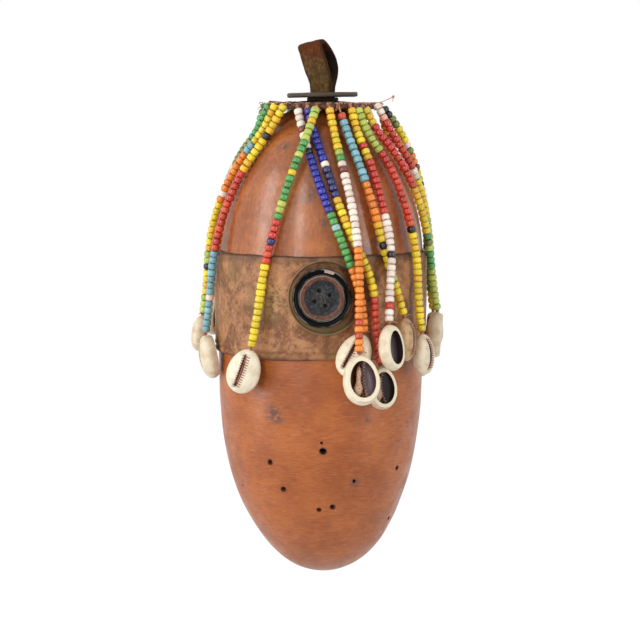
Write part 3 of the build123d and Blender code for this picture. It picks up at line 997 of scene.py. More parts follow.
def band_wrinkles(place):
    """Puckers, lumps and wavering edges."""
    out = Vector((place.x, place.y, 0)).normalized()
    proud = Vector((place.x, place.y, 0)).length - body_radius(place.z)
    skin = eased(proud, 0.0003, 0.0012)
    near_top = eased(place.z, BAND_TOP - 0.006, BAND_TOP)
    near_foot = eased(-place.z, -BAND_BOTTOM - 0.007, -BAND_BOTTOM)
    lumps = 0.00022 * rough(place, 0.012, 11) + 0.0001 * rough(place, 0.004, 12)
    sideways = Vector((place.x, place.y, place.z * 0.25))
    puckers = 0.00016 * rough(sideways, 0.0035, 13) * near_top
    rolls = 0.00018 * rough(sideways, 0.006, 14) * near_foot
    drift = (0.0006 * rough(out * 0.05, 0.02, 15) + 0.0003 * rough(out * 0.05, 0.006, 17)) * near_top
    drift += 0.0007 * rough(out * 0.05, 0.025, 16) * near_foot
    nick = eased(out.x, 0.93, 0.955) * eased(-out.x, -0.985, -0.96) * eased(-out.y, 0, 0.1) * near_foot
    return place + out * ((lumps + puckers + rolls - 0.0006 * nick) * skin) + Vector((0, 0, drift))


def leather_band():
    band = turned("leather_band", band_outline(), 192)
    open_edges(band)
    bpy.ops.mesh.bridge_edge_loops()
    bpy.ops.object.mode_set(mode="OBJECT")
    closed_up(band)
    kneaded(band, band_wrinkles)
    return placed(smoothed(band, 60), "gourd", "band_leather", "joint_band")


# The eye


def faced(piece):
    """Turn a piece made on the Z axis to face -Y, at the eye's place on the band."""
    piece.rotation_euler = (math.radians(90), 0, 0)
    piece.location = (EYE_X, -outer_radius(EYE_HEIGHT), EYE_HEIGHT)
    return settled(piece)


def wrapped(place):
    """Bend the backing's flange back round the band, and set its edge off to the right."""
    away = Vector((place.x - EYE_X, 0, place.z - EYE_HEIGHT)).length
    share = eased(away, 0.0125, BACKING_RADIUS)
    x = place.x + BACKING_SHIFT * eased(away, RING_RADIUS, BACKING_RADIUS)
    level = outer_radius(EYE_HEIGHT)
    surface = math.sqrt(max(outer_radius(place.z) ** 2 - x**2, 0))
    return Vector((x, place.y + (level - surface) * share, place.z))


def eye_cup():
    floor = BOSS_HEIGHT - BED_DEPTH
    outline = [
        (BACKING_RADIUS - 0.0004, -0.0006),
        (BACKING_RADIUS, 0.0002),
        (BACKING_RADIUS - 0.0001, 0.0010),
        (BACKING_RADIUS - 0.0004, 0.0015),
        (BACKING_RADIUS - 0.0008, 0.0015),
        (BACKING_RADIUS - 0.0012, 0.0012),
        (BACKING_RADIUS - 0.0018, 0.0013),
        (BACKING_RADIUS - 0.0025, 0.0019),
        (BOSS_RADIUS, 0.0027),
        (BOSS_RADIUS - 0.0004, 0.0034),
        (BOSS_RADIUS - 0.0008, BOSS_HEIGHT),
        (RING_RADIUS + 0.0001, BOSS_HEIGHT + 0.0001),
        (RING_RADIUS, BOSS_HEIGHT - 0.0005),
        (RING_RADIUS, floor),
        (RING_RADIUS * 0.6, floor),
        (RING_RADIUS * 0.2, floor),
        (0, floor),
    ]
    cup = turned("eye_cup", outline, 112)
    bed, lip = RING_RADIUS, BACKING_RADIUS
    marked(cup, "bed", lambda place: eased(-place.xy.length, -bed - 0.0003, -bed + 0.0002))
    marked(cup, "lip", lambda place: eased(place.xy.length, lip - 0.0011, lip - 0.0005))
    marked(cup, "groove", groove_shade_share)
    faced(cup)
    kneaded(cup, wrapped)
    kneaded(cup, lambda place: place + Vector((0, 0.00018 * rough(place, 0.004, 21), 0)))
    return placed(smoothed(cup, 50), "gourd", "eye_backing", "eye_backing")


def groove_shade_share(place):
    """How much painted shade a place takes, deep in the backing's groove or against the ring."""
    away = place.xy.length
    groove = eased(away, BACKING_RADIUS - 0.0022, BACKING_RADIUS - 0.0013)
    groove *= eased(-away, -BACKING_RADIUS + 0.0006, -BACKING_RADIUS + 0.0012)
    return max(groove, eased(-away, -RING_RADIUS - 0.0009, -RING_RADIUS - 0.0001))


def eye_ring():
    floor = BOSS_HEIGHT - BED_DEPTH
    top = BOSS_HEIGHT + RING_PROUD
    inner = RING_RADIUS - RING_WIDTH
    outline = [
        (RING_RADIUS, floor),
        (RING_RADIUS, top - 0.0006),
        (RING_RADIUS - 0.0002, top - 0.0002),
        (RING_RADIUS - 0.0006, top),
        (RING_RADIUS - 0.0009, top - 0.0003),
        (RING_RADIUS - 0.0014, top - 0.0008),
        (inner + 0.0011, top - 0.0009),
        (inner + 0.0007, top - 0.0004),
        (inner + 0.0004, top - 0.0002),
        (inner + 0.0001, top - 0.0005),
        (inner, top - 0.0009),
        (inner, floor),
        (RING_RADIUS, floor),
    ]
    ring = turned("eye_ring_black", outline, 120)
    marked(ring, "chip", chip_share)
    marked(ring, "rim", rim_wear_and_highlight)
    kneaded(ring, lambda place: place - Vector((0, 0, 0.0006 * chip_share(place))))
    faced(ring)
    return placed(smoothed(ring, 50), "gourd", "black_ring", "eye_ring")


def chip_share(place):
    """How far a place on the ring lies in the chip near its top."""
    turn = math.degrees(math.atan2(place.x, place.y))
    radius = place.xy.length
    along = eased(turn, 4, 7) * eased(-turn, -28, -25)
    across = eased(radius, 0.0119, 0.0125) * eased(-radius, -0.0139, -0.0134)
    return along * across * eased(place.z, 0.0028, 0.0036)


def rim_wear_and_highlight(place):
    """How near a place on the ring is to its outer or inner rim."""
    radius = place.xy.length
    outer = eased(radius, RING_RADIUS - 0.0005, RING_RADIUS - 0.0001)
    inner = eased(-radius, -(RING_RADIUS - RING_WIDTH) - 0.0004, -(RING_RADIUS - RING_WIDTH) - 0.0001)
    return max(outer, inner) * eased(place.z, 0.0030, 0.0038)


def eye_button():
    floor = BOSS_HEIGHT - BED_DEPTH
    top = floor + BUTTON_THICKNESS
    dish = BUTTON_RADIUS - BUTTON_RIM
    outline = [
        (BUTTON_RADIUS - 0.0003, floor),
        (BUTTON_RADIUS, floor + 0.0006),
        (BUTTON_RADIUS, top - 0.0010),
        (BUTTON_RADIUS - 0.0003, top - 0.0003),
        (BUTTON_RADIUS - 0.0009, top),
        (BUTTON_RADIUS - 0.0016, top - 0.0001),
        (dish, top - 0.0004),
        (dish - 0.0008, top - BUTTON_DISH),
        (dish - 0.0026, top - BUTTON_DISH - 0.0002),
        (dish - 0.0040, top - BUTTON_DISH - 0.0001),
        (dish - 0.0060, top - BUTTON_DISH + 0.0001),
        (0, top - BUTTON_DISH + 0.0002),
    ]
    button = turned("eye_button_worn", outline, 72)
    open_edges(button)
    bpy.ops.mesh.edge_face_add()
    bpy.ops.object.mode_set(mode="OBJECT")
    closed_up(button)
    cut_away(button, button_hole_cutter(top))
    modified(button, "BEVEL", width=0.0002, segments=2, limit_method="ANGLE", angle_limit=math.radians(50))
    marked(button, "pit", hole_shade_share)
    faced(button)
    kneaded(button, lambda place: place + Vector((0, 0.00012 * rough(place, 0.0022, 23), 0)))
    return placed(smoothed(button, 45), "gourd", "button", "eye_button")


def hole_shade_share(place):
    """1 inside the thread holes' walls, just below the dish, where shade is painted."""
    deep = eased(-place.z, -(BOSS_HEIGHT - BED_DEPTH + BUTTON_THICKNESS - BUTTON_DISH) + 0.0002, -0.0028)
    return deep * eased(-place.xy.length, -0.0062, -0.0056)


def button_hole_cutter(top):
    """Pegs that stand where the button's four thread holes go."""
    half = BUTTON_SPACING / 2
    pegs = []
    for x in (-half, half):
        for y in (-half, half):
            peg = round_peg(BUTTON_HOLE_SIDES, BUTTON_HOLE)
            peg.location = (x, y, top)
            pegs.append(settled(peg))
    pegs = joined(pegs, "pegs")
    pegs.rotation_euler = (0, 0, math.radians(BUTTON_TURN))
    return settled(pegs)


# Strap, washer, pad, collar and lashing


def loop_half_width(height):
    """The strap narrows from the loop down to the neck."""
    share = eased(height, -0.0225, -0.0117)
    return (NECK_WIDTH + (STRAP_WIDTH - NECK_WIDTH) * share) / 2


def loop_line():
    """Side view of the strap's middle line: out (Y) and up (Z), front leg, fold and rear leg."""
    leg = [
        (0.00125, -0.0370), (0.00125, -0.0300), (0.00125, -0.0255), (0.0013, -0.0213), (0.0021, -0.0180),
        (0.0034, -0.0145), (0.0043, -0.0110), (0.0048, -0.0075), (0.00485, -0.0045), (0.0045, -0.0018),
        (0.0035, -0.0006), (0.0019, 0.0003),
    ]
    front = [(-out, up) for out, up in leg]
    return front + [(0.0, 0.0005)] + list(reversed(leg))


def strap():
    """A leather strip led up through the neck, folded over and led down again."""
    line = loop_line()
    tidy_selection()
    bpy.ops.mesh.primitive_grid_add(x_subdivisions=10, y_subdivisions=3, size=1)
    strip = started("strap")
    strip.scale = (STRAP_WIDTH, STRAP_THICKNESS, 1)
    strip.location = (0, line[0][0], line[0][1])
    settled(strip)
    bpy.ops.object.mode_set(mode="EDIT")
    bpy.ops.mesh.select_all(action="SELECT")
    heading = math.pi / 2
    for before, here, after in zip(line, line[1:], line[2:] + [None]):
        move = (0, here[0] - before[0], here[1] - before[1])
        bpy.ops.mesh.extrude_region_move(TRANSFORM_OT_translate={"value": move})
        end = after or here
        new_heading = math.atan2(end[1] - before[1], end[0] - before[0])
        turn = new_heading - heading
        centre = (0, here[0], here[1])
        bpy.ops.transform.rotate(value=-turn, orient_axis="X", center_override=centre)
        heading = new_heading
    bpy.ops.object.mode_set(mode="OBJECT")
    closed_up(strip)
    marked(strip, "edge", strap_edge)
    # Where the rear leg takes painted shade
    marked(strip, "rear", lambda place: eased(place.y, 0.0003, 0.0016) * eased(-place.z, 0.0015, 0.0045))
    kneaded(strip, strap_shape)
    modified(strip, "BEVEL", width=0.0004, segments=2, limit_method="ANGLE", angle_limit=math.radians(50))
    modified(strip, "SUBSURF", levels=1, render_levels=1)
    kneaded(strip, lambda place: place + 0.00025 * noise.noise_vector(place / 0.003))
    piece = finished(smoothed(strip, 60), "strap_leather", "strap_loop", "strap_tail")
    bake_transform(piece)


def strap_edge(place):
    return eased(abs(place.x), STRAP_WIDTH / 2 - 0.0016, STRAP_WIDTH / 2 - 0.0002)


def strap_shape(place):
    """Narrow the strip at the neck, twist the loop a little, let it lean and set its legs apart."""
    half = loop_half_width(place.z)
    x = place.x * 2 * half / STRAP_WIDTH
    share = eased(place.z, -0.0235, -0.004)
    twist = math.radians(STRAP_TWIST) * share
    y = place.y
    turned_x = x * math.cos(twist) + y * math.sin(twist)
    turned_y = y * math.cos(twist) - x * math.sin(twist)
    rise = max(place.z + 0.021, 0) / 0.022
    lean = 0.0011 - STRAP_LEAN * rise**2.2
    if turned_x > 0:
        turned_x *= 1 - 0.17 * eased(place.z, -0.008, 0.0)
    side = min(max(place.y / 0.002, -1), 1)
    apart = 0.0014 * side * (1 - 0.8 * eased(place.z, -0.016, 0.0))
    tilt = 0.24 * turned_x * eased(place.z, -0.009, 0.0)
    return Vector((turned_x + lean + apart, turned_y, place.z + tilt - 0.0002 * share))


def washer():
    top, bottom = WASHER_TOP, WASHER_TOP - WASHER_THICKNESS
    outline = [
        (NECK_HOLE, bottom), (NECK_HOLE, top), (NECK_HOLE + 0.0006, top), (WASHER_FLAT, top),
        (WASHER_RADIUS - 0.0008, top), (WASHER_RADIUS - 0.0002, top - 0.0002),
        (WASHER_RADIUS, top - 0.0007), (WASHER_RADIUS, bottom + 0.0007),
        (WASHER_RADIUS - 0.0003, bottom + 0.0002), (WASHER_RADIUS - 0.0009, bottom),
        (WASHER_FLAT, bottom), (NECK_HOLE, bottom),
    ]
    disc = turned("washer_iron", outline, 96)
    kneaded(disc, washer_wear)
    return placed(smoothed(disc, 45), "washer", "iron", "washer")


def washer_wear(place):
    """Bent a little, and worn uneven at its edge."""
    radius = place.xy.length
    rim = eased(radius, 0.009, WASHER_RADIUS)
    tilt = WASHER_TILT * place.x * eased(radius, 0.0075, 0.0105)
    sag = 0.00016 * rough(place, 0.012, 31) * rim
    worn = 1 + 0.012 * rough(place, 0.006, 32) * rim
    return Vector((place.x * worn + NECK_SHIFT, place.y * worn, place.z + tilt + sag))


def neck_pad():
    top, bottom = PAD_TOP, COLLAR_TOP
    outline = [
        (NECK_HOLE, bottom), (NECK_HOLE, top), (PAD_RADIUS - 0.0005, top),
        (PAD_RADIUS - 0.0001, top - 0.0004), (PAD_RADIUS, top - 0.0008),
        (PAD_RADIUS - 0.0001, bottom + 0.0004), (PAD_RADIUS + 0.0002, bottom),
        (NECK_HOLE, bottom),
    ]
    pad = turned("neck_pad_leather", outline, 64)
    kneaded(pad, pad_wear)
    return placed(smoothed(pad, 45), "gourd", "pad_leather", "neck_pad")


def pad_wear(place):
    swell = 1 + 0.03 * rough(place, 0.004, 34)
    return Vector((place.x * swell + NECK_SHIFT, place.y * swell, place.z))


def collar():
    seat = COLLAR_TOP - COLLAR_THICKNESS
    outline = [(NECK_HOLE, seat), (NECK_HOLE, COLLAR_TOP), (COLLAR_FLAT, COLLAR_TOP)]
    for step in range(1, 10):
        share = step / 10
        radius = COLLAR_FLAT + (COLLAR_RADIUS - COLLAR_FLAT) * share
        outline.append((radius, COLLAR_TOP - COLLAR_DROP * (0.62 * share + 0.38 * share**2)))
    rim = COLLAR_TOP - COLLAR_DROP
    outline += [
        (COLLAR_RADIUS - 0.0006, rim + 0.0001), (COLLAR_RADIUS - 0.0001, rim - 0.0005),
        (COLLAR_RADIUS, rim - 0.0010), (COLLAR_RADIUS - 0.0002, rim - 0.0016),
        (COLLAR_RADIUS - 0.0007, rim - 0.0019), (0.0200, seat - 0.0016), (COLLAR_FLAT, seat),
        (NECK_HOLE, seat),
    ]
    cone = turned("collar_leather_cone", outline, 128)
    kneaded(cone, collar_warp)
    return placed(smoothed(cone, 50), "gourd", "collar_leather", "collar")


def collar_warp(place):
    radius = place.xy.length
    rim = eased(radius, 0.012, COLLAR_RADIUS)
    out = Vector((place.x, place.y, 0)) / max(radius, 1e-6)
    swell = 0.0004 * rough(out * 0.03, 0.009, 41) * rim
    lift = 0.00035 * rough(out * 0.03, 0.012, 42) * rim + 0.0001 * rough(place, 0.003, 43)
    return place + out * swell + Vector((0, 0, lift))


def lashing():
    """Three strands laid together round the collar's rim."""
    lines = []
    for strand in range(LASHING_STRANDS):
        line = []
        for step in range(LASHING_STEPS + 1):
            turn = 360 * step / LASHING_STEPS
            lay = math.radians(turn * LASHING_LAYS + 360 / LASHING_STRANDS * strand)
            wander = 1 + 0.15 * rough(around(turn, 0.03, 0), 0.004, strand)
            spread = LASHING_SPREAD * wander
            radius = LASHING_RADIUS + spread * math.cos(lay)
            line.append(around(turn, radius, LASHING_HEIGHT + spread * math.sin(lay)))
        lines.append(line)
    rope = strands("rim_lashing", lines, LASHING_YARN, 1)
    return placed(smoothed(rope, 60), "gourd", "fibre", "collar_lashing")


def frayed_fibre():
    """Loose ends of fibre round the lashing, a few bent over the collar and a tuft at the left."""
    pick = random.Random(19)
    lines = []
    for _ in range(FRAYED_ENDS):
        turn = pick.uniform(0, 360)
        radius = LASHING_RADIUS + pick.uniform(-0.001, 0.0012)
        start = around(turn, radius, LASHING_HEIGHT + pick.uniform(-0.001, 0.0012))
        out = around(turn + pick.uniform(-70, 70), 1, 0)
        reach = pick.uniform(0.0012, 0.0036)
        droop = pick.uniform(-0.0024, 0.0012)
        middle = start + out * reach * 0.5 + Vector((0, 0, abs(droop) * 0.5))
        end = start + out * reach + Vector((0, 0, droop))
        lines.append([start, middle, end])
    for _ in range(BENT_FIBRES):
        turn = pick.uniform(0, 360)
        sweep = pick.uniform(-34, 34)
        line = []
        for step in range(6):
            share = step / 5
            radius = 0.030 - 0.017 * math.sin(share * math.pi) * pick.uniform(0.8, 1.0)
            drop = COLLAR_DROP * (radius - COLLAR_FLAT) / (COLLAR_RADIUS - COLLAR_FLAT)
            line.append(around(turn + sweep * share, radius, COLLAR_TOP - drop + 0.0005))
        lines.append(line)
    for lift in (0, 0.0003, 0.0006):
        tip = Vector((-0.0252, -0.0118, -0.0287 + lift))
        lines.append([Vector((-0.0150, -0.0198, -0.0289)), Vector((-0.0208, -0.0162, -0.0285)), tip])
    piece = strands("frayed_fibre", lines, FIBRE, 0)
    return placed(smoothed(piece, 80), "gourd", "fibre")


def loose_thread():
    """A knotted thread end that sticks up at the right, and two pale threads over the collar."""
    start = around(64, LASHING_RADIUS, LASHING_HEIGHT + 0.0008)
    end = Vector((0.0355, -0.0146, -0.0262))
    middle = (start + end) / 2 + Vector((0.0002, 0, -0.0004))
    hook = end + Vector((-0.0004, 0, -0.0022))
    turns = ((-1, 0, -1), (1, 0, 0), (0, 1, 1), (-1, 0, 0), (0, -1, 1), (1, 0, 1))
    knot = [end + Vector(offset) * 0.0004 for offset in turns]
    lines = [[start, middle, end], [end, end + Vector((0.0002, 0, -0.001)), hook]]
    for turn, drift in ((28, 11), (36, 14)):
        first = around(turn, 0.0205, COLLAR_TOP - 0.0006)
        crest = around(turn + drift * 0.5, 0.0245, COLLAR_TOP - 0.0008)
        lines.append([first, crest, around(turn + drift, LASHING_RADIUS, LASHING_HEIGHT + 0.0009)])
    thin = strands("thread_end", lines, THREAD_END, 1)
    thick = strands("thread_knot", [knot], THREAD, 2)
    piece = joined([thin, thick], "loose_thread")
    return placed(smoothed(piece, 60), "gourd", "tie_thread")


# The fringe


def string_route(turns, stand_offs, end_height):
    """Points of a string's route: from the collar's top over its rim, and down to its cowrie."""
    points = [
        around(turns[0], COLLAR_RADIUS - 0.0016, COLLAR_TOP - COLLAR_DROP + 0.0005),
        around(turns[0], COLLAR_RADIUS + 0.0012, BEADS_TOP + 0.0012),
        around(turns[0], BEADS_RADIUS, BEADS_TOP),
    ]
    drop = end_height / 1000 - LASHING_HEIGHT
    for share, turn, stand_off in zip(STATIONS, turns[1:], stand_offs):
        height = LASHING_HEIGHT + share * drop
        points.append(around(turn, outer_radius(height, stand_off / 1000), height))
    return points


def thread_curve(name, route):
    """The thread as one smooth curve through a string's route."""
    curve = bpy.data.curves.new(name, "CURVE")
    curve.dimensions = "3D"
    curve.resolution_u = 16
    line_added(curve, route)
    thread = bpy.data.objects.new(name, curve)
    bpy.context.collection.objects.link(thread)
    return thread


def along_thread(thread):
    """The thread's own line, as close points and their distances from its start."""
    mesh = bpy.data.meshes.new_from_object(thread)
    points = [vertex.co.copy() for vertex in mesh.vertices]
    bpy.data.meshes.remove(mesh)
    distances = [0.0]
    for before, after in zip(points, points[1:]):
        distances.append(distances[-1] + (after - before).length)
    return points, distances


def place_along(points, distances, distance):
    """Point and direction at a distance along a thread."""
    for index in range(1, len(points)):
        if distances[index] >= distance or index == len(points) - 1:
            run = points[index] - points[index - 1]
            share = (distance - distances[index - 1]) / (distances[index] - distances[index - 1])
            return points[index - 1] + run * share, run.normalized()


def seed_bead():
    """One glass bead on the Z axis, 1 unit across and 0.84 long, with its thread hole."""
    side = [(0.34, -0.42), (0.46, -0.31), (0.50, -0.10), (0.50, 0.10), (0.46, 0.31), (0.34, 0.42)]
    bead = turned("seed_bead", [(0.16, -0.30)] + side + [(0.16, 0.30), (0.16, -0.30)], 12)
    marked(bead, "mouth", lambda place: 1 - eased(place.xy.length, 0.17, 0.42))
    bead.data.color_attributes.new("glass", "FLOAT_COLOR", "POINT")
    return smoothed(bead, 180)


def bead_colours(runs):
    """Spell out runs such as Y3 K1 into one letter for each bead; - is a bare place."""
    letters = []
    for run in runs.split():
        letters += [run[0]] * int(run[1:])
    return letters


def shaded_glass(letter, pick):
    """A bead's own colour: batches of glass differ a little."""
    light = 1 + pick.uniform(-0.10, 0.06)
    red, green, blue = GLASS[letter]
    if letter == "Y":
        green -= pick.choice((0, 0, 0, 6, 24))
    if letter == "R":
        green += pick.choice((-8, 0, 0, 14))
    return paint(*(min(value * light, 255) for value in (red, green, blue)))


def beads_on(name, points, distances, runs, bare, bead, pick):
    """Beads along a thread, each a little different in size and tilt."""
    letters = bead_colours(runs)
    first = (points[0] - around_rim(points[0])).length + bare / 1000
    pitch = (distances[-1] - first - THREAD_TAIL) / len(letters)
    copies = []
    for index, letter in enumerate(letters):
        if letter == "-":
            continue
        place, heading = place_along(points, distances, first + pitch * (index + 0.5))
        copy = copied(bead)
        width = BEAD_DIAMETER * pick.uniform(0.94, 1.08)
        length = pitch * pick.uniform(1.10, 1.16)
        tilt = heading + Vector([pick.uniform(-0.09, 0.09) for _ in range(3)])
        turn = tilt.to_track_quat("Z", "Y").to_matrix().to_4x4()
        spin = Matrix.Rotation(pick.uniform(0, 6.28), 4, "Z")
        scale = Matrix.Diagonal((width, width, length, 1))
        copy.data.transform(Matrix.Translation(place) @ turn @ spin @ scale)
        colour = list(shaded_glass(letter, pick))
        layer = copy.data.color_attributes["glass"].data
        layer.foreach_set("color", colour * len(copy.data.vertices))
        copies.append(copy)
    return joined(copies, name)


def around_rim(start):
    """Where a thread's beads begin, past the lashing, level with its start."""
    out = Vector((start.x, start.y, 0)).normalized()
    return out * (BEADS_RADIUS - 0.0008) + Vector((0, 0, start.z - 0.0004))


def cowrie_form(place):
    """A ball drawn out into a cowrie: blunt foot, flat face with rolled lips, round back."""
    across, through, along = place
    across *= COWRIE_WIDTH * (1 - COWRIE_TAPER * along)
    if through > 0:
        through *= COWRIE_BACK
    else:
        through = -COWRIE_FACE * (2 * abs(through)) ** 0.94
    side = across - slit_line(along)
    ends = eased(0.44 - abs(along), 0.0, 0.08)
    face = eased(-through, 0.05, 0.15)
    through += 0.05 * math.exp(-((side / 0.04) ** 2)) * ends * face
    return Vector((across, through, along))


def slit_cutter():
    """A thin blade with toothed sides, which opens the slit."""
    tidy_selection()
    bpy.ops.mesh.primitive_grid_add(x_subdivisions=1, y_subdivisions=SLIT_ROWS, size=1)
    blade = started("blade")
    blade.rotation_euler = (math.radians(90), 0, 0)
    settled(blade)
    kneaded(blade, blade_form)
    return modified(blade, "SOLIDIFY", thickness=0.30, offset=0)


def blade_form(place):
    along = place.z * 0.76 + 0.01
    row = round((place.z + 0.5) * SLIT_ROWS)
    tooth = 0.010 if row % 4 < 2 else 0.0
    half = (0.011 + tooth) * eased(0.39 - abs(along - 0.01), 0.0, 0.14) + 0.001
    return Vector((slit_line(along) + (half if place.x > 0 else -half), -0.15, along))


def grinding_block():
    """A block that takes the back off a cowrie."""
    tidy_selection()
    bpy.ops.mesh.primitive_cube_add(size=2, location=(0, 1 + COWRIE_CUT, 0))
    return settled(started("block"))


def columella():
    """The shell's inner core, which shows through the ground-off back."""
    tidy_selection()
    bpy.ops.mesh.primitive_uv_sphere_add(segments=20, ring_count=20, radius=0.5)
    core = started("core")
    kneaded(core, core_form)
    return core


def core_form(place):
    along = place.z * 0.62
    swell = 0.55 + 0.9 * eased(-along, -0.02, 0.20) + 0.25 * eased(along, 0.06, 0.2)
    across = place.x * 0.17 * swell + 0.05 - 0.04 * eased(along, -0.2, 0.3) + 0.02 * eased(-along, 0.0, 0.3)
    through = place.y * 0.13 * swell - 0.075
    return Vector((across, through, along - 0.01))


def cowrie():
    """One cut cowrie, 1 unit long, its slit at -Y, its back ground off and its tip up."""
    tidy_selection()
    bpy.ops.mesh.primitive_uv_sphere_add(segments=48, ring_count=36, radius=0.5)
    shell = started("cowrie")
    kneaded(shell, cowrie_form)
    closed_up(shell)
    skin = BVHTree.FromPolygons(
        [vertex.co.copy() for vertex in shell.data.vertices],
        [tuple(face.vertices) for face in shell.data.polygons],
    )
    modified(shell, "SOLIDIFY", thickness=COWRIE_WALL, offset=-1)
    cut_away(shell, slit_cutter())
    cut_away(shell, grinding_block())
    marked(shell, "inside", lambda place: eased(skin.find_nearest(place)[3], 0.008, 0.03))
    marked(shell, "core", 0.0)
    core = columella()
    marked(core, "inside", 1.0)
    marked(core, "core", 1.0)
    shell = joined([shell, core], "cowrie")
    layer = shell.data.attributes.new("shell_place", "FLOAT_VECTOR", "POINT")
    for index, vertex in enumerate(shell.data.vertices):
        layer.data[index].vector = vertex.co
    return smoothed(shell, 42)


def hung_cowrie(number, model, route, turn, shape, pick):
    """Place a copy of the cowrie below its string's end, leaning in and slanting sideways."""
    length, roll, lean, slant, tan = shape
    shell = copied(model)
    shell.name = "cowrie_shell_" + number
    size = length / 1000
    spin = [Matrix.Rotation(math.radians(angle), 4, axis) for angle, axis in (
        (turn, "Z"), (-lean, "X"), (slant, "Y"), (roll, "Z"))]
    facing = spin[0] @ spin[1] @ spin[2]
    drop = Matrix.Translation((0, 0, -size / 2 - COWRIE_GAP)) @ spin[3]
    place = Matrix.Translation(route[-1]) @ facing @ drop
    shell.data.transform(place @ Matrix.Scale(size, 4))
    marked(shell, "tan", tan)
    # How much painted shade darkens this cowrie's inside
    marked(shell, "gloom", INSIDE_SHADE.get(number, pick.choice((0.1, 0.3, 0.5))))
    return shell


def thread_tie():
    """Thread wound round itself where it holds a cowrie, made on the Z axis."""
    line = []
    for step in range(TIE_STEPS + 1):
        turn = step / TIE_STEPS * TIE_TURNS
        radius = 0.00085 + 0.0002 * math.sin(turn * 2.1)
        line.append(around(360 * turn, radius, 0.0011 - 0.0026 * step / TIE_STEPS))
    loop = [Vector(place) / 1000 for place in (
        (0.5, -0.6, -1.2), (0.9, -1.9, -2.4), (0.2, -2.2, -3.4), (-0.4, -1.6, -2.2), (-0.3, -0.5, -1.0))]
    tail = [Vector(place) / 1000 for place in (
        (0.7, -0.4, 0.4), (1.6, -1.0, 1.3), (3.0, -0.8, 1.2), (3.9, -1.1, 0.7))]
    return strands("tie", [line, loop, tail], TIE_THREAD, 1)


def tied_at(model, place, turn, size):
    """A copy of the tie at a place on a string, turned and scaled."""
    tie = copied(model)
    facing = Matrix.Rotation(math.radians(turn), 4, "Z")
    tie.data.transform(Matrix.Translation(place) @ facing @ Matrix.Scale(size, 4))
    return tie


def bead_strings():
    pick = random.Random(41)
    bead = seed_bead()
    model = cowrie()
    tie_model = thread_tie()
    rim_ties = []
    for number, (body, turns, stand_offs, end, shape, length, runs) in STRINGS.items():
        route = string_route(turns, stand_offs, end)
        thread = thread_curve("thread_" + number, route)
        points, distances = along_thread(thread)
        bare = BARE_THREAD.get(number, 0)
        beads = beads_on("beads_" + number, points, distances, runs, bare, bead, pick)
        shell = hung_cowrie(number, model, route, turns[-1], shape, pick)
        tie = tied_at(tie_model, route[-1], turns[-1] + pick.uniform(-40, 40), 1.0)
        tie.name = "tie_" + number
        rim_turn = turns[0] + pick.uniform(-80, 80)
        rim_ties.append(tied_at(tie_model, around_rim(route[0]), rim_turn, 0.9))
        for point in thread.data.splines[0].points:
            point.radius = THREAD / 2
        thread.data.bevel_depth = 1.0
        thread.data.bevel_resolution = 2
        thread.data.use_fill_caps = True
        placed(thread, body, "tie_thread", "bead_strand_" + number)
        placed(beads, body, "glass_beads")
        placed(shell, body, "cowrie_shell", "cowrie_" + number)
        placed(tie, body, "tie_thread")
    placed(joined(rim_ties, "rim_ties"), "gourd", "tie_thread")
    for model in (bead, model, tie_model):
        bpy.data.objects.remove(model)


# Putting it together


def finished(piece, finish, *nodes):
    """Give a piece its finish and the solids it stands for."""
    piece.data.materials.clear()
    piece.data.materials.append(finishes[finish])
    if nodes:
        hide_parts(*nodes)
    return piece


def placed(piece, body, finish, *nodes):
    """Finish a piece that moves with one body."""
    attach(piece, body)
    return finished(piece, finish, *nodes)


def make_finishes():
    return {
        "dome_gourd": dome_gourd(),
        "cup_gourd": cup_gourd(),
        "band_leather": band_leather(),
        "eye_backing": eye_backing(),
        "black_ring": black_ring(),
        "button": button_horn(),
        "collar_leather": collar_leather(),
        "fibre": yarn_finish("fibre", (58, 32, 18), (158, 104, 70)),
        "tie_thread": yarn_finish("tie_thread", (140, 84, 58), (226, 166, 132)),
        "pad_leather": pad_leather(),
        "iron": iron(),
        "strap_leather": strap_leather(),
        "toggle_wood": toggle_wood(),
        "glass_beads": glass_beads(),
        "cowrie_shell": cowrie_shell(),
    }


def camera():
    data = bpy.data.cameras.new("camera")
    data.lens = CAMERA_LENS
    data.sensor_width = CAMERA_SENSOR
    view = bpy.data.objects.new("camera", data)
    bpy.context.collection.objects.link(view)
    view.location = CAMERA_PLACE
    view.rotation_euler = (math.radians(90 - CAMERA_DIP), 0, 0)
    bpy.context.scene.camera = view


def softbox(name, azimuth, elevation, distance, width, height, power):
    """A soft lamp that faces the middle of the gourd."""
    data = bpy.data.lights.new(name, "AREA")
    data.shape = "RECTANGLE"
    data.size = width
    data.size_y = height
    data.energy = power
    lamp = bpy.data.objects.new(name, data)
    bpy.context.collection.objects.link(lamp)
    flat = distance * math.cos(math.radians(elevation))
    lamp.location = around(azimuth, flat, LAMPS_AIM + distance * math.sin(math.radians(elevation)))
    towards = Vector((0, 0, LAMPS_AIM)) - lamp.location
    lamp.rotation_euler = towards.to_track_quat("-Z", "Y").to_euler()


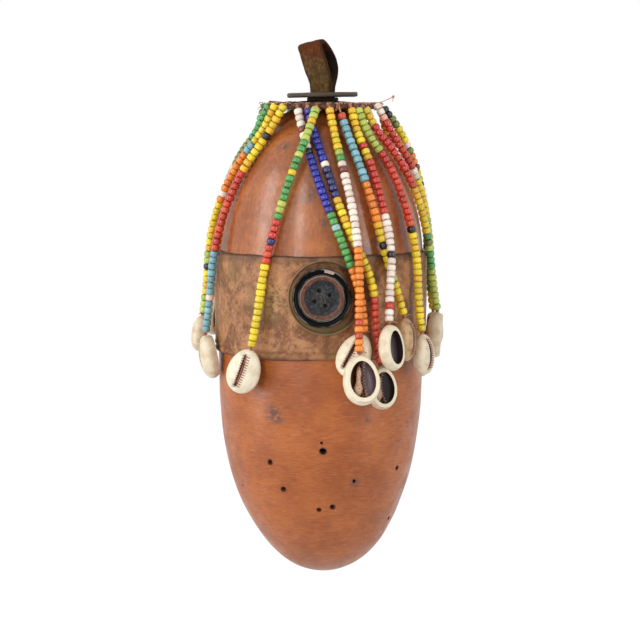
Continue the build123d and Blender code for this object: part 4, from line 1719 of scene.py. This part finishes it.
def white_world():
    """Plain light all round, and white wherever the background itself is seen."""
    world = bpy.data.worlds.new("studio")
    bpy.context.scene.world = world
    world.use_nodes = True
    tree = world.node_tree
    tree.nodes.clear()
    seen = tree.nodes.new("ShaderNodeLightPath")
    first, second = (tree.nodes.new("ShaderNodeMath") for _ in range(2))
    first.operation = "ADD"
    second.operation = "ADD"
    second.use_clamp = True
    lit, shown = (tree.nodes.new("ShaderNodeBackground") for _ in range(2))
    for background, strength in ((lit, WORLD_LIGHT), (shown, WORLD_SEEN)):
        background.inputs["Strength"].default_value = strength
        background.inputs["Color"].default_value = (1, 1, 1, 1)
    mix = tree.nodes.new("ShaderNodeMixShader")
    out = tree.nodes.new("ShaderNodeOutputWorld")
    tree.links.new(seen.outputs["Is Camera Ray"], first.inputs[0])
    tree.links.new(seen.outputs["Is Glossy Ray"], first.inputs[1])
    tree.links.new(first.outputs[0], second.inputs[0])
    tree.links.new(seen.outputs["Is Transmission Ray"], second.inputs[1])
    tree.links.new(second.outputs[0], mix.inputs[0])
    tree.links.new(lit.outputs[0], mix.inputs[1])
    tree.links.new(shown.outputs[0], mix.inputs[2])
    tree.links.new(mix.outputs[0], out.inputs["Surface"])


def floor():
    """A plain white floor far below the hanging gourd."""
    tidy_selection()
    bpy.ops.mesh.primitive_plane_add(size=FLOOR_SIZE, location=(0, 0, FLOOR_HEIGHT))
    ground = settled(started("floor"))
    white = Finish("floor_white")
    shown = white.node("ShaderNodeEmission", sockets={"Color": (1, 1, 1, 1), "Strength": FLOOR_GLOW})
    matt = white.node("ShaderNodeBsdfDiffuse", sockets={"Color": paint(236, 236, 236)})
    seen = white.node("ShaderNodeLightPath")
    direct = Flow(white, seen.outputs["Is Camera Ray"]).most(Flow(white, seen.outputs["Is Glossy Ray"]))
    share = direct * FLOOR_GLOW_SHARE
    sockets = {0: share, 1: Flow(white, matt.outputs[0]), 2: Flow(white, shown.outputs[0])}
    shader = white.value("ShaderNodeMixShader", sockets=sockets)
    white.node("ShaderNodeOutputMaterial", sockets={"Surface": shader})
    ground.data.materials.append(white.material)


finishes = make_finishes()
camera()
bead_strings()
gourd_dome()
gourd_cup()
leather_band()
eye_cup()
eye_ring()
eye_button()
strap()
washer()
neck_pad()
collar()
lashing()
frayed_fibre()
loose_thread()
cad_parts["strap_toggle"].material_slots[0].material = finishes["toggle_wood"]
for lamp in LAMPS:
    softbox(*lamp)
white_world()
floor()
bpy.context.scene.view_settings.view_transform = "Standard"
